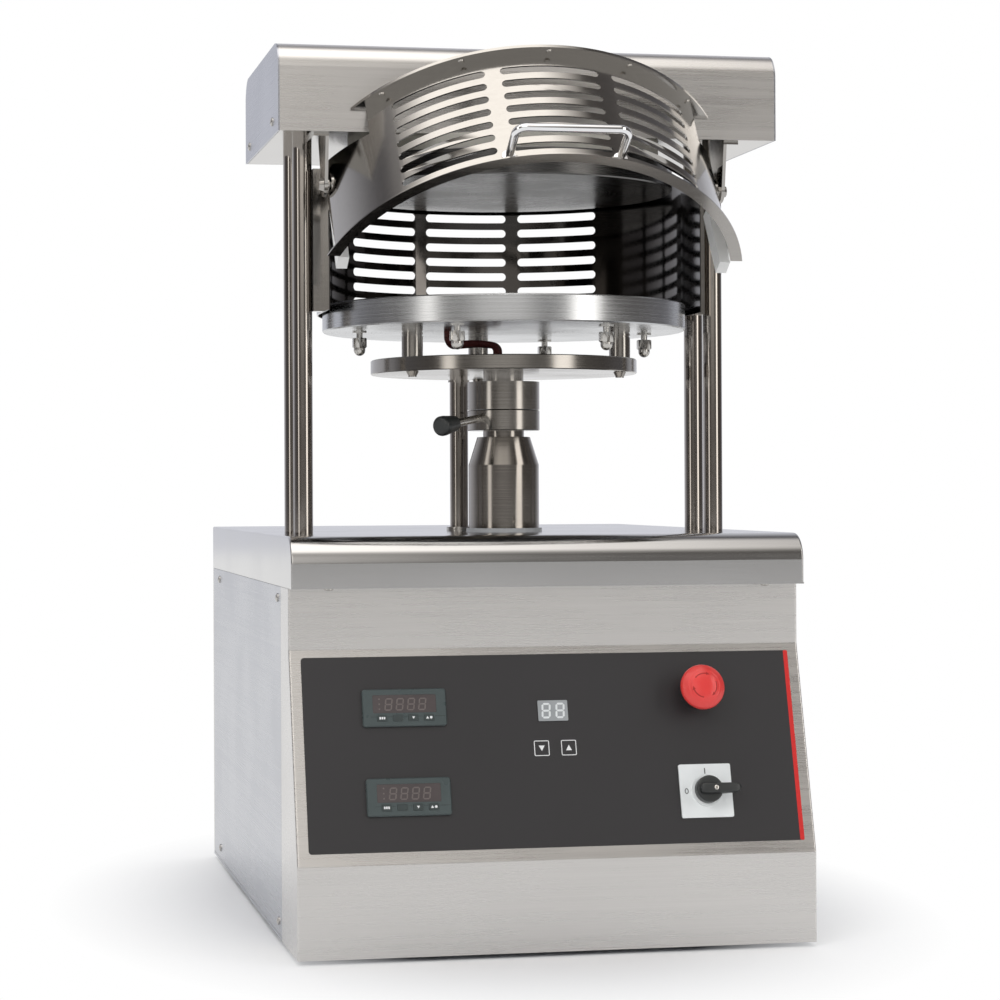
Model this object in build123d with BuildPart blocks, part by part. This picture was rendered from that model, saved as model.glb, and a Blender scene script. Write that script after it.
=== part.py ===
"""Heated pizza dough press: a sheet-metal base with a sloping control panel, four columns, a head with
the fixed upper platen, a rising lower platen and a slotted guard that hinges up. Millimetres, +X to the
right, +Y to the back, +Z up. The origin is the centre of the base's underside, above the rubber feet."""
from build123d import *
from math import asin, cos, degrees, radians, sin, sqrt
import os

os.makedirs("parts", exist_ok=True)

# Base body
DEPTH = 670.0
SHEET = 1.5
LOWER_BEND_Z = 81.0
UPPER_BEND_Z = 265.0
SLOPE_SETBACK = 51.0
COVER_BOTTOM_Z = 320.0
COVER_HEIGHT = 46.0
COVER_SETBACK = 31.0
COVER_BEND_R = 24.0
SIDE_RETURN = 101.0
REAR_RETURN = 7.5
SILL_HEIGHT = 3.0
TRAY_THICKNESS = 2.0
TRAY_RIM_HEIGHT = 25.0
FOOT_HEIGHT = 4.0
FOOT_R = 18.0
FOOT_STUD_R = 3.0
FOOT_INSET_X = 50.0
FOOT_INSET_Y = 45.0
PANEL_SEAM = 0.3
FOLD_R = 4.0
CORNER_R = 1.8

# Inner frame
DECK_THICKNESS = 12.0
TUBE = 25.0
TUBE_WALL = 2.0
SOCKET_R = 16.0
SOCKET_HEIGHT = 24.0

# Columns and head
AXIS_SETBACK = 227.0
COLUMN_R = 9.2
COLUMN_GAP = 16.3
COLUMN_TO_SIDE = 34.5
COLUMN_DY = 31.5
OPEN_HEIGHT = 366.5
HEAD_HEIGHT = 82.0
HEAD_DEPTH = 245.0
HEAD_BEND_R = 23.0
HEAD_PLATE_THICKNESS = 12.0
HEAD_RIB_THICKNESS = 8.0
HEAD_SOCKET_HEIGHT = 18.0

# Platens and the rising group, from the top of the base upwards
UPPER_PLATEN_INSET = 12.0
UPPER_PLATEN_THICKNESS = 25.0
INSULATION_INSET = 13.0
INSULATION_THICKNESS = 15.0
LOWER_PLATEN_R = 175.0
LOWER_PLATEN_THICKNESS = 25.0
RAM_R = 34.0
RAM_BORE_R = 20.0
RAM_STANDING = 64.3
RAM_GUIDED = 110.0
CONE_HEIGHT = 26.9
CONE_TOP_R = 25.6
NECK_R = 19.8
NECK_HEIGHT = 6.1
SPINDLE_R = 14.0
SPINDLE_HEIGHT = 40.0
RING_R = 34.8
RING_HEIGHT = 19.7
RING_GAP = 0.6
HUB_HEIGHT = 26.8
HUB_NECK_R = 19.4
HUB_NECK_HEIGHT = 7.2
DISC_INSET = 46.5
DISC_THICKNESS = 13.6
POST_HEIGHT = 27.3
POST_R = 10.0
POST_INSET = 12.5
NUT_INSET = 34.0
NUT_WASHER = 1.5
NUT_STUD_SHOWING = 5.0
NUT_HEIGHT = 9.0
NUT_CROWN_HEIGHT = 8.0
GUIDE_ROD_R = 9.0
GUIDE_X = -32.0
GUIDE_DY = 59.0
LEVER_AZIMUTH = -137.5
LEVER_R = 3.75
LEVER_REACH = 82.0
LEVER_DROOP = 8.0
GRIP_R = 9.4
GRIP_LENGTH = 24.0
PLATE_RISE = 2.5
CLOSED_GAP = 0.5

# Lift cylinder and guide bush
CYLINDER_WALL = 6.0
GLAND_WALL = 2.5
GLAND_HEIGHT = 3.5
BUSH_WALL = 2.2
BUSH_FLANGE_R = 12.0
BUSH_FLANGE_HEIGHT = 4.0
BUSH_LENGTH = 60.0

# Fixed rear guard
GUARD_SHEET = 1.5
FIXED_GUARD_GAP = 5.5
FIXED_GUARD_DROP = 157.5
FIXED_GUARD_HEIGHT = 134.0
FIXED_GUARD_FORWARD = 62.5
SLOT_HEIGHT = 8.0
SLOT_PITCH = 15.0
SLOT_ROWS = 7
SLOT_GROUP_ANGLE = 27.0
SLOT_GROUP_PITCH = 31.0
RAIL_DEPTH = 14.0

# Moving guard, in its own frame: origin on the pivot line, axes as when it is shut
GUARD_LIFT_ANGLE = 34.0
PIVOT_SETBACK = 131.5
PIVOT_DROP = 45.5
MOVING_GUARD_GAP = 13.1
GUARD_CENTRE_Y = 56.5
GUARD_HEIGHT = 127.0
GUARD_TOP = 40.5
EAR_GAP = 4.7
EAR_BACK = 12.0
EAR_FOOT_BACK = -3.0
NOTCH_ANGLE = 53.0
NOTCH_DROP = 31.5
RING_FLANGE = 11.4
RING_THICKNESS = 3.0
LIP = 9.4
RIVET_R = 3.0
RIVET_STEP = 23.0
PIVOT_PIN_R = 4.0
PIVOT_BOSS_R = 11.0
PIVOT_BOSS_HEIGHT = 4.0
STRUT_THICKNESS = 3.0
STRUT_GAP = 2.0
HANDLE_R = 3.75
HANDLE_WIDTH = 100.0
HANDLE_STANDOFF = 33.0
HANDLE_ABOVE_RIM = 8.0
BUFFER_THICKNESS = 10.0
BUFFER_WIDTH = 16.0
BUFFER_FRONT = 0.5
BUFFER_TOP = -17.0

# Control panel, measured on the slope from the middle of its lower bend
FILM_MARGIN = 10.5
FILM_LOW = 10.8
FILM_HIGH = 184.2
FILM_THICKNESS = 0.5
CONTROLLER_X = -134.2
CONTROLLER_V = (137.6, 58.4)
CONTROLLER_SIZE = (75.2, 33.3)
CONTROLLER_PROUD = 3.5
CONTROLLER_DEPTH = 58.0
KEY_SIZE = (8.9, 5.8)
KEY_PITCH = 14.0
KEY_FIRST_X = -20.4
KEY_V = -9.3
KEY_TRAVEL = 0.6
DISPLAY_X = 0.6
DISPLAY_V = 132.5
DISPLAY_SIZE = (27.3, 18.6)
STOP_X = 134.2
STOP_V = 147.0
STOP_R = 20.3
STOP_COLLAR_R = 15.0
STOP_COLLAR_HEIGHT = 7.0
STOP_TRAVEL = 4.5
STOP_STEM_R = 6.0
SWITCH_X = 136.2
SWITCH_V = 57.0
SWITCH_PLATE = 48.0
SWITCH_BLOCK = 42.0
SWITCH_BLOCK_DEPTH = 45.0
SWITCH_NECK = 6.0
SWITCH_COLLAR_R = 14.0
KNOB_R = 12.0
KNOB_REACH = 28.0

# Clearances
FIT = 0.05
SEAT_GAP = 0.2
LOOSE = 0.5

# Sizes that follow the lower platen: the upper one, the disc, the guards, the columns and the width
UPPER_PLATEN_R = LOWER_PLATEN_R - UPPER_PLATEN_INSET
INSULATION_R = UPPER_PLATEN_R - INSULATION_INSET
DISC_R = LOWER_PLATEN_R - DISC_INSET
POST_CIRCLE_R = DISC_R - POST_INSET
NUT_CIRCLE_R = LOWER_PLATEN_R - NUT_INSET
FIXED_GUARD_R = LOWER_PLATEN_R + FIXED_GUARD_GAP
GUARD_R = FIXED_GUARD_R + MOVING_GUARD_GAP
EAR_X = FIXED_GUARD_R + EAR_GAP
COLUMN_X = LOWER_PLATEN_R + COLUMN_GAP + COLUMN_R
WIDTH = 2 * (COLUMN_X + COLUMN_TO_SIDE)
FILM_WIDTH = WIDTH - 2 * FILM_MARGIN

# Places worked out from the sizes above
SIDE = WIDTH / 2
FRONT = -DEPTH / 2
REAR = DEPTH / 2
COVER_TOP_Z = COVER_BOTTOM_Z + COVER_HEIGHT
COVER_FRONT = FRONT + COVER_SETBACK
PANEL_TOP_Y = FRONT + SLOPE_SETBACK
RETURN_Y = FRONT + SIDE_RETURN
AXIS_Y = FRONT + AXIS_SETBACK
DECK_TOP_Z = COVER_TOP_Z - SHEET
DECK_BOTTOM_Z = DECK_TOP_Z - DECK_THICKNESS
HEAD_BOTTOM_Z = COVER_TOP_Z + OPEN_HEIGHT
HEAD_TOP_Z = HEAD_BOTTOM_Z + HEAD_HEIGHT
HEAD_FRONT = AXIS_Y - HEAD_DEPTH / 2
HEAD_BACK = AXIS_Y + HEAD_DEPTH / 2
CONE_BASE_Z = COVER_TOP_Z + RAM_STANDING
NECK_Z = CONE_BASE_Z + CONE_HEIGHT
RING_Z = NECK_Z + NECK_HEIGHT
HUB_Z = RING_Z + RING_HEIGHT + RING_GAP
DISC_Z = HUB_Z + HUB_HEIGHT + HUB_NECK_HEIGHT
POST_Z = DISC_Z + DISC_THICKNESS
LOWER_PLATEN_Z = POST_Z + POST_HEIGHT
UPPER_PLATEN_Z = HEAD_BOTTOM_Z - INSULATION_THICKNESS - UPPER_PLATEN_THICKNESS
LIFT_TRAVEL = UPPER_PLATEN_Z - LOWER_PLATEN_Z - LOWER_PLATEN_THICKNESS - PLATE_RISE - CLOSED_GAP
RAM_BOTTOM_Z = COVER_TOP_Z - LIFT_TRAVEL - RAM_GUIDED
GUIDE_ROD_BOTTOM_Z = COVER_TOP_Z - LIFT_TRAVEL - BUSH_LENGTH
FIXED_GUARD_BOTTOM_Z = HEAD_BOTTOM_Z - FIXED_GUARD_DROP
PIVOT_Z = HEAD_BOTTOM_Z - PIVOT_DROP
PIVOT_Y = FRONT + PIVOT_SETBACK
RIM = GUARD_TOP - GUARD_HEIGHT
GUARD = Plane(
    origin=(0, PIVOT_Y, PIVOT_Z),
    x_dir=(1, 0, 0),
    z_dir=(0, sin(radians(GUARD_LIFT_ANGLE)), cos(radians(GUARD_LIFT_ANGLE))),
)
FIXED_GUARD = Plane(origin=(0, AXIS_Y, FIXED_GUARD_BOTTOM_Z))
PANEL = Plane(
    origin=(0, FRONT, LOWER_BEND_Z),
    x_dir=(1, 0, 0),
    z_dir=(0, LOWER_BEND_Z - UPPER_BEND_Z, SLOPE_SETBACK),
)
PANEL_OUT = Axis(PANEL.origin, PANEL.z_dir)


def save(piece, name):
    """Labels a finished piece and writes its STEP file."""
    piece.part.label = name
    export_step(piece.part, f"parts/{name}.step")


def turned(base, point, normal, across):
    """The plane through a point of another plane's frame, given by its normal and its own X there."""
    centre = base.from_local_coords(Vector(0, 0, 0))
    origin = base.from_local_coords(Vector(*point))
    z_dir = base.from_local_coords(Vector(*normal)) - centre
    x_dir = base.from_local_coords(Vector(*across)) - centre
    return Plane(origin=origin, x_dir=x_dir, z_dir=z_dir)


def on_side(base, x):
    """The plane at x that looks along +X, with the base's Y across and its Z up."""
    return turned(base, (x, 0, 0), (1, 0, 0), (0, 1, 0))


def outer_edges(piece, low_z, back_y):
    """The edges in the planes of the two sides that lie above low_z and in front of back_y."""
    return piece.edges().filter_by(
        lambda edge: abs(abs(edge.center().X) - SIDE) < 0.01
        and edge.center().Z > low_z
        and edge.center().Y < back_y
    )


def front_outline(radius, half_width, centre_y, back_y):
    """The plan of a bay: a round front about (0, centre_y) with straight sides to back_y."""
    reach = radius + abs(centre_y) + abs(back_y)
    with BuildSketch() as outline:
        with Locations((0, centre_y)):
            Circle(radius)
        with Locations((0, back_y - reach / 2)):
            Rectangle(2 * half_width, reach, mode=Mode.INTERSECT)
    return outline.sketch


def rear_outline(radius, front_y):
    """The plan of the rear bay: a half circle with straight sides that come forward to front_y."""
    with BuildSketch() as outline:
        Circle(radius)
        with Locations((0, front_y / 2)):
            Rectangle(2 * radius, abs(front_y))
        with Locations((0, front_y - radius)):
            Rectangle(3 * radius, 2 * radius, mode=Mode.SUBTRACT)
    return outline.sketch


def cut_slots(base, radius, centre_y, facing, low, height):
    """Cuts three groups of long round-ended slots through a round wall that faces -Y or +Y."""
    length = 2 * radius * sin(radians(SLOT_GROUP_ANGLE / 2))
    first = low + (height - (SLOT_ROWS - 1) * SLOT_PITCH) / 2
    for group in (-1, 0, 1):
        angle = radians(group * SLOT_GROUP_PITCH)
        normal = (sin(angle), facing * cos(angle), 0)
        across = (cos(angle), -facing * sin(angle), 0)
        inner = radius * cos(radians(SLOT_GROUP_ANGLE / 2)) - 2 * GUARD_SHEET
        start = (inner * normal[0], centre_y + inner * normal[1], 0)
        with BuildSketch(turned(base, start, normal, across)) as slots:
            for row in range(SLOT_ROWS):
                with Locations((0, -facing * (first + row * SLOT_PITCH))):
                    SlotOverall(length, SLOT_HEIGHT)
        extrude(slots.sketch, amount=radius - inner + 2 * GUARD_SHEET, mode=Mode.SUBTRACT)


# Base tray with its sill and its upstanding rim, drilled for the side panels' lower screws
SCREW_R = 2.0
SCREW_HEAD_R = 4.0
SCREW_INSET = 20.0
panel_bottom = SILL_HEIGHT + PANEL_SEAM
panel_top = COVER_BOTTOM_Z - PANEL_SEAM
panel_rear = REAR - REAR_RETURN - PANEL_SEAM
screw_low = panel_bottom + 12.0
screw_high = panel_top - 10.5
screw_ys = (RETURN_Y + SCREW_INSET, panel_rear - 3 * SCREW_INSET)
screw_places = [(y, z) for y in screw_ys for z in (screw_low, screw_high)]
inner_side = SIDE - SHEET - PANEL_SEAM
inner_front = FRONT + SHEET + PANEL_SEAM
inner_rear = REAR - SHEET - PANEL_SEAM
sill_length = REAR - RETURN_Y - PANEL_SEAM
with BuildPart() as base_tray:
    with BuildSketch():
        with Locations((0, (inner_front + REAR) / 2)):
            Rectangle(2 * inner_side, REAR - inner_front)
    extrude(amount=TRAY_THICKNESS)
    with BuildSketch():
        with Locations((0, REAR - sill_length / 2)):
            Rectangle(WIDTH, sill_length)
            Rectangle(2 * inner_side - SHEET, sill_length, mode=Mode.SUBTRACT)
    extrude(amount=SILL_HEIGHT)
    with BuildSketch(Plane.XY.offset(TRAY_THICKNESS)):
        with Locations((0, (inner_front + inner_rear) / 2)):
            Rectangle(2 * inner_side, inner_rear - inner_front)
            Rectangle(2 * (inner_side - SHEET), inner_rear - inner_front - 2 * SHEET, mode=Mode.SUBTRACT)
    extrude(amount=TRAY_RIM_HEIGHT - TRAY_THICKNESS)
    with Locations((0, 0, TRAY_THICKNESS)):
        with GridLocations(WIDTH - 2 * FOOT_INSET_X, DEPTH - 2 * FOOT_INSET_Y, 2, 2):
            Hole(FOOT_STUD_R)
    with BuildSketch(Plane.YZ.offset(-SIDE)):
        with Locations(*[(y, screw_low) for y in screw_ys]):
            Circle(SCREW_R + FIT)
    extrude(amount=WIDTH, mode=Mode.SUBTRACT)
save(base_tray, "base_tray")

# Rubber feet with a stud through the tray
FOOT_NAMES = ("front_left", "rear_left", "front_right", "rear_right")
foot_places = [(x, y) for x in (FOOT_INSET_X - SIDE, SIDE - FOOT_INSET_X)
               for y in (FRONT + FOOT_INSET_Y, REAR - FOOT_INSET_Y)]
for foot_name, place in zip(FOOT_NAMES, foot_places):
    with BuildPart() as foot:
        with BuildSketch(Plane.XY.offset(-FOOT_HEIGHT)):
            with Locations(place):
                Circle(FOOT_R)
        extrude(amount=FOOT_HEIGHT)
        fillet(foot.edges().group_by(Axis.Z)[0], 1.0)
        with BuildSketch():
            with Locations(place):
                Circle(FOOT_STUD_R - FIT)
        extrude(amount=TRAY_THICKNESS + 6)
    save(foot, f"foot_{foot_name}")

# Inner frame: legs, side rails and the deck that carries the columns and the lift
leg_x = SIDE - SHEET - TUBE / 2 - 12
leg_ys = (PANEL_TOP_Y + SHEET + TUBE, AXIS_Y + COLUMN_DY + 3 * TUBE, REAR - 2 * TUBE)
deck_front = PANEL_TOP_Y + SHEET + TUBE / 2
deck_back = AXIS_Y + COLUMN_DY + 3 * TUBE + TUBE / 2
column_places = [(x, y) for x in (-COLUMN_X, COLUMN_X) for y in (AXIS_Y - COLUMN_DY, AXIS_Y + COLUMN_DY)]
with BuildPart() as base_frame:
    with BuildSketch(Plane.XY.offset(DECK_BOTTOM_Z)):
        with Locations((0, (deck_front + deck_back) / 2)):
            Rectangle(2 * leg_x + TUBE, deck_back - deck_front)
    extrude(amount=DECK_THICKNESS)
    with BuildSketch(Plane.XY.offset(DECK_BOTTOM_Z - SOCKET_HEIGHT)):
        with Locations(*column_places):
            Circle(SOCKET_R)
    extrude(amount=SOCKET_HEIGHT)
    with BuildSketch(Plane.XY.offset(TRAY_THICKNESS)):
        with Locations(*[(side * leg_x, y) for side in (-1, 1) for y in leg_ys]):
            Rectangle(TUBE, TUBE)
            Rectangle(TUBE - 2 * TUBE_WALL, TUBE - 2 * TUBE_WALL, mode=Mode.SUBTRACT)
    extrude(amount=DECK_BOTTOM_Z - TRAY_THICKNESS)
    with BuildSketch(Plane.XZ.offset(-deck_back)):
        with Locations(*[(side * leg_x, DECK_TOP_Z - TUBE / 2) for side in (-1, 1)]):
            Rectangle(TUBE, TUBE)
    extrude(amount=deck_back - leg_ys[2] - TUBE / 2)
    with BuildSketch(Plane.YZ.offset(-leg_x)):
        with Locations((leg_ys[2], DECK_TOP_Z - TUBE / 2)):
            Rectangle(TUBE, TUBE)
    extrude(amount=2 * leg_x)
    with BuildSketch(Plane.XY.offset(DECK_TOP_Z)):
        with Locations(*column_places):
            Circle(COLUMN_R + FIT)
    extrude(amount=-(DECK_THICKNESS + SOCKET_HEIGHT - 4), mode=Mode.SUBTRACT)
    with BuildSketch(Plane.XY.offset(DECK_TOP_Z)):
        with Locations((0, AXIS_Y)):
            Circle(RAM_R + FIT + CYLINDER_WALL + FIT)
        with Locations((GUIDE_X, AXIS_Y + GUIDE_DY)):
            Circle(GUIDE_ROD_R + FIT + BUSH_WALL + FIT)
    extrude(amount=-DECK_THICKNESS, mode=Mode.SUBTRACT)
save(base_frame, "base_frame")

# Side panels, each with four screw holes
for panel_name, side in (("side_panel_left", -1), ("side_panel_right", 1)):
    with BuildPart() as side_panel:
        with BuildSketch(Plane.YZ.offset(side * SIDE)):
            with Locations(((RETURN_Y + panel_rear) / 2, (panel_bottom + panel_top) / 2)):
                Rectangle(panel_rear - RETURN_Y, panel_top - panel_bottom)
            with Locations(*screw_places):
                Circle(SCREW_R + FIT, mode=Mode.SUBTRACT)
        extrude(amount=-side * SHEET)
    save(side_panel, panel_name)

# Rear panel with two ladders of vents and the hole for the mains gland
VENT_LENGTH = 120.0
VENT_COUNT = 7
VENT_PITCH = 14.0
VENT_HEIGHT = 5.0
GLAND_HOLE_R = 10.0
GLAND_X = -150.0
GLAND_Z = 60.0
with BuildPart() as rear_panel:
    with BuildSketch(Plane.XY.offset(panel_bottom)):
        with Locations((0, REAR - REAR_RETURN / 2)):
            Rectangle(WIDTH, REAR_RETURN)
        with Locations((0, REAR - REAR_RETURN / 2 - SHEET)):
            Rectangle(WIDTH - 2 * SHEET, REAR_RETURN, mode=Mode.SUBTRACT)
    extrude(amount=panel_top - panel_bottom)
    with BuildSketch(Plane.XZ.offset(-REAR)):
        with Locations((0, (panel_bottom + panel_top) / 2)):
            with GridLocations(1.3 * VENT_LENGTH, VENT_PITCH, 2, VENT_COUNT):
                SlotOverall(VENT_LENGTH, VENT_HEIGHT)
        with Locations((GLAND_X, GLAND_Z)):
            Circle(GLAND_HOLE_R + FIT)
    extrude(amount=2 * SHEET, mode=Mode.SUBTRACT)
save(rear_panel, "rear_panel")

# Mains inlet gland, empty: a hexagon outside, a nut inside and the bore for a cord
with BuildPart() as mains_gland:
    with BuildSketch(Plane.XZ.offset(-REAR)):
        with Locations((GLAND_X, GLAND_Z)):
            RegularPolygon(13.5, 6)
    extrude(amount=-7.0)
    with BuildSketch(Plane.XZ.offset(-REAR - 7.0)):
        with Locations((GLAND_X, GLAND_Z)):
            Circle(11.0)
    extrude(amount=-8.0, taper=12)
    with BuildSketch(Plane.XZ.offset(-REAR)):
        with Locations((GLAND_X, GLAND_Z)):
            Circle(GLAND_HOLE_R)
    extrude(amount=14.0)
    with BuildSketch(Plane.XZ.offset(-REAR + SHEET)):
        with Locations((GLAND_X, GLAND_Z)):
            RegularPolygon(13.5, 6)
    extrude(amount=5.0)
    with BuildSketch(Plane.XZ.offset(-REAR - 20.0)):
        with Locations((GLAND_X, GLAND_Z)):
            Circle(5.0)
    extrude(amount=40.0, mode=Mode.SUBTRACT)
save(mains_gland, "mains_gland")

# Folded front panel: lower face, slope, upper face and the two side returns
slope_length = sqrt((UPPER_BEND_Z - LOWER_BEND_Z) ** 2 + SLOPE_SETBACK ** 2)
slope_turn = sin(0.5 * asin(SLOPE_SETBACK / slope_length)) / cos(0.5 * asin(SLOPE_SETBACK / slope_length))
outer_profile = [(FRONT, 0), (FRONT, LOWER_BEND_Z), (PANEL_TOP_Y, UPPER_BEND_Z), (PANEL_TOP_Y, panel_top),
                 (RETURN_Y - PANEL_SEAM, panel_top), (RETURN_Y - PANEL_SEAM, 0)]
inner_profile = [(FRONT + SHEET, -1), (FRONT + SHEET, LOWER_BEND_Z - SHEET * slope_turn),
                 (PANEL_TOP_Y + SHEET, UPPER_BEND_Z - SHEET * slope_turn),
                 (PANEL_TOP_Y + SHEET, panel_top + 1), (RETURN_Y + 1, panel_top + 1), (RETURN_Y + 1, -1)]
bend_heights = (LOWER_BEND_Z - 2 * SHEET, UPPER_BEND_Z + 2 * SHEET)
TONGUE = 26.0
HOLE_MARGIN = 2.0
controller_hole = (CONTROLLER_SIZE[0] - 2 * HOLE_MARGIN, CONTROLLER_SIZE[1] - 2 * HOLE_MARGIN)
display_hole = (DISPLAY_SIZE[0] - 2 * HOLE_MARGIN, DISPLAY_SIZE[1] - 2 * HOLE_MARGIN)
STOP_TUBE_R = 11.0
SWITCH_TUBE_R = 10.5


def panel_holes(mode):
    """Draws the cut-outs that the panel and its film share."""
    with Locations(*[(CONTROLLER_X, v) for v in CONTROLLER_V]):
        Rectangle(*controller_hole, mode=mode)
    with Locations((DISPLAY_X, DISPLAY_V)):
        Rectangle(*display_hole, mode=mode)
    with Locations((STOP_X, STOP_V)):
        Circle(STOP_TUBE_R + FIT, mode=mode)
    with Locations((SWITCH_X, SWITCH_V)):
        Circle(SWITCH_TUBE_R + FIT, mode=mode)


with BuildPart() as front_panel:
    with BuildSketch(Plane.YZ) as outer_face:
        Polygon(*outer_profile, align=None)
        fillet(outer_face.vertices().filter_by_position(Axis.Y, *bend_heights), FOLD_R)
    extrude(amount=SIDE, both=True)
    with BuildSketch(Plane.YZ) as inner_face:
        Polygon(*inner_profile, align=None)
        fillet(inner_face.vertices().filter_by_position(Axis.Y, *bend_heights), FOLD_R)
    extrude(amount=SIDE - SHEET, both=True, mode=Mode.SUBTRACT)
    fillet(outer_edges(front_panel, 0, PANEL_TOP_Y + SHEET), CORNER_R)
    with BuildSketch(Plane.XZ.offset(-PANEL_TOP_Y)):
        with Locations((0, panel_top + TONGUE / 2 - 1)):
            Rectangle(2 * inner_side, TONGUE + 2)
    extrude(amount=-SHEET)
    with BuildSketch(PANEL.offset(-5 * SHEET)):
        panel_holes(Mode.ADD)
    extrude(amount=10 * SHEET, mode=Mode.SUBTRACT)
save(front_panel, "front_panel")

# Top cover: a folded lid with a round front bend, side skirts and a hem under the front
HEM = 17.0
with BuildPart() as top_cover:
    with BuildSketch(Plane.YZ) as cover_outer:
        with Locations(((COVER_FRONT + REAR) / 2, (COVER_BOTTOM_Z + COVER_TOP_Z) / 2)):
            Rectangle(REAR - COVER_FRONT, COVER_HEIGHT)
        fillet(cover_outer.vertices().group_by(Axis.Y)[-1].sort_by(Axis.X)[0], COVER_BEND_R)
    extrude(amount=SIDE, both=True)
    with BuildSketch(Plane.YZ) as cover_inner:
        with Locations(((COVER_FRONT + REAR) / 2, (COVER_BOTTOM_Z + COVER_TOP_Z) / 2 - SHEET)):
            Rectangle(REAR - COVER_FRONT - 2 * SHEET, COVER_HEIGHT)
        fillet(cover_inner.vertices().group_by(Axis.Y)[-1].sort_by(Axis.X)[0], COVER_BEND_R - SHEET)
    extrude(amount=SIDE - SHEET, both=True, mode=Mode.SUBTRACT)
    fillet(outer_edges(top_cover, COVER_BOTTOM_Z + SHEET, REAR - SHEET), CORNER_R)
    with BuildSketch(Plane.XY.offset(COVER_BOTTOM_Z)):
        with Locations((0, COVER_FRONT + HEM / 2)):
            Rectangle(WIDTH, HEM)
        with Locations(*[(side * COLUMN_X, COVER_FRONT + HEM / 2) for side in (-1, 1)]):
            Circle(SCREW_R + FIT, mode=Mode.SUBTRACT)
    extrude(amount=SHEET)
    with BuildSketch(Plane.XY.offset(COVER_TOP_Z)):
        with Locations(*column_places):
            Circle(COLUMN_R + FIT)
        with Locations((0, AXIS_Y)):
            Circle(RAM_R + FIT + GLAND_WALL + FIT)
        with Locations((GUIDE_X, AXIS_Y + GUIDE_DY)):
            Circle(GUIDE_ROD_R + FIT + BUSH_WALL + FIT)
    extrude(amount=-2 * SHEET, mode=Mode.SUBTRACT)
save(top_cover, "top_cover")

# Panel screws: four on each side and two under the cover's front hem
SCREW_HEAD_HEIGHT = 2.2
SCREW_LENGTH = 8.0
with BuildPart() as panel_screws:
    for side in (-1, 1):
        with BuildSketch(Plane.YZ.offset(side * SIDE)):
            with Locations(*screw_places):
                Circle(SCREW_HEAD_R)
        extrude(amount=side * SCREW_HEAD_HEIGHT, taper=25)
        with BuildSketch(Plane.YZ.offset(side * SIDE)):
            with Locations(*screw_places):
                Circle(SCREW_R)
        extrude(amount=-side * SCREW_LENGTH)
    hem_places = [(side * COLUMN_X, COVER_FRONT + HEM / 2) for side in (-1, 1)]
    with BuildSketch(Plane.XY.offset(COVER_BOTTOM_Z)):
        with Locations(*hem_places):
            Circle(SCREW_HEAD_R)
    extrude(amount=-SCREW_HEAD_HEIGHT, taper=25)
    with BuildSketch(Plane.XY.offset(COVER_BOTTOM_Z)):
        with Locations(*hem_places):
            Circle(SCREW_R)
    extrude(amount=SCREW_LENGTH)
save(panel_screws, "panel_screws")

# Control film on the slope
with BuildPart() as control_film:
    with BuildSketch(PANEL):
        with Locations((0, (FILM_LOW + FILM_HIGH) / 2)):
            RectangleRounded(FILM_WIDTH, FILM_HIGH - FILM_LOW, 3.0)
        panel_holes(Mode.SUBTRACT)
    extrude(amount=FILM_THICKNESS)
save(control_film, "control_film")

# Two temperature controllers with a window recess and four sprung keys each
WINDOW_SIZE = (57.0, 16.3)
WINDOW_V = 3.3
WINDOW_DEPTH = 0.6
KEY_GAP = 0.12
KEY_PROUD = 0.35
KEY_DEPTH = 2.2
face_z = FILM_THICKNESS + CONTROLLER_PROUD
key_floor = face_z + KEY_PROUD - KEY_DEPTH - KEY_TRAVEL - 0.15
for level, v in zip(("upper", "lower"), CONTROLLER_V):
    key_places = [(CONTROLLER_X + KEY_FIRST_X + n * KEY_PITCH, v + KEY_V) for n in range(4)]
    with BuildPart() as controller:
        with BuildSketch(PANEL.offset(FILM_THICKNESS)):
            with Locations((CONTROLLER_X, v)):
                RectangleRounded(*CONTROLLER_SIZE, 2.5)
        extrude(amount=CONTROLLER_PROUD)
        chamfer(controller.faces().sort_by(PANEL_OUT)[-1].edges(), 0.8)
        with BuildSketch(PANEL.offset(FILM_THICKNESS)):
            with Locations((CONTROLLER_X, v)):
                Rectangle(controller_hole[0] - LOOSE, controller_hole[1] - LOOSE)
        extrude(amount=-CONTROLLER_DEPTH)
        with BuildSketch(PANEL.offset(face_z)):
            with Locations((CONTROLLER_X, v + WINDOW_V)):
                RectangleRounded(*WINDOW_SIZE, 1.2)
        extrude(amount=-WINDOW_DEPTH, mode=Mode.SUBTRACT)
        with BuildSketch(PANEL.offset(key_floor)):
            with Locations(*key_places):
                RectangleRounded(KEY_SIZE[0] + 2 * KEY_GAP, KEY_SIZE[1] + 2 * KEY_GAP, 1.0 + KEY_GAP)
        extrude(amount=face_z - key_floor + 1, mode=Mode.SUBTRACT)
    save(controller, f"{level}_controller")
    for number, place in enumerate(key_places, start=1):
        with BuildPart() as key:
            with BuildSketch(PANEL.offset(face_z + KEY_PROUD - KEY_DEPTH)):
                with Locations(place):
                    RectangleRounded(*KEY_SIZE, 1.0)
            extrude(amount=KEY_DEPTH)
        save(key, f"{level}_key_{number}")

# Two-digit timer display behind its small window
with BuildPart() as timer_display:
    with BuildSketch(PANEL.offset(FILM_THICKNESS)):
        with Locations((DISPLAY_X, DISPLAY_V)):
            RectangleRounded(*DISPLAY_SIZE, 1.0)
    extrude(amount=0.8)
    with BuildSketch(PANEL.offset(FILM_THICKNESS)):
        with Locations((DISPLAY_X, DISPLAY_V)):
            Rectangle(display_hole[0] - LOOSE, display_hole[1] - LOOSE)
    extrude(amount=-14.0)
save(timer_display, "timer_display")

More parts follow.
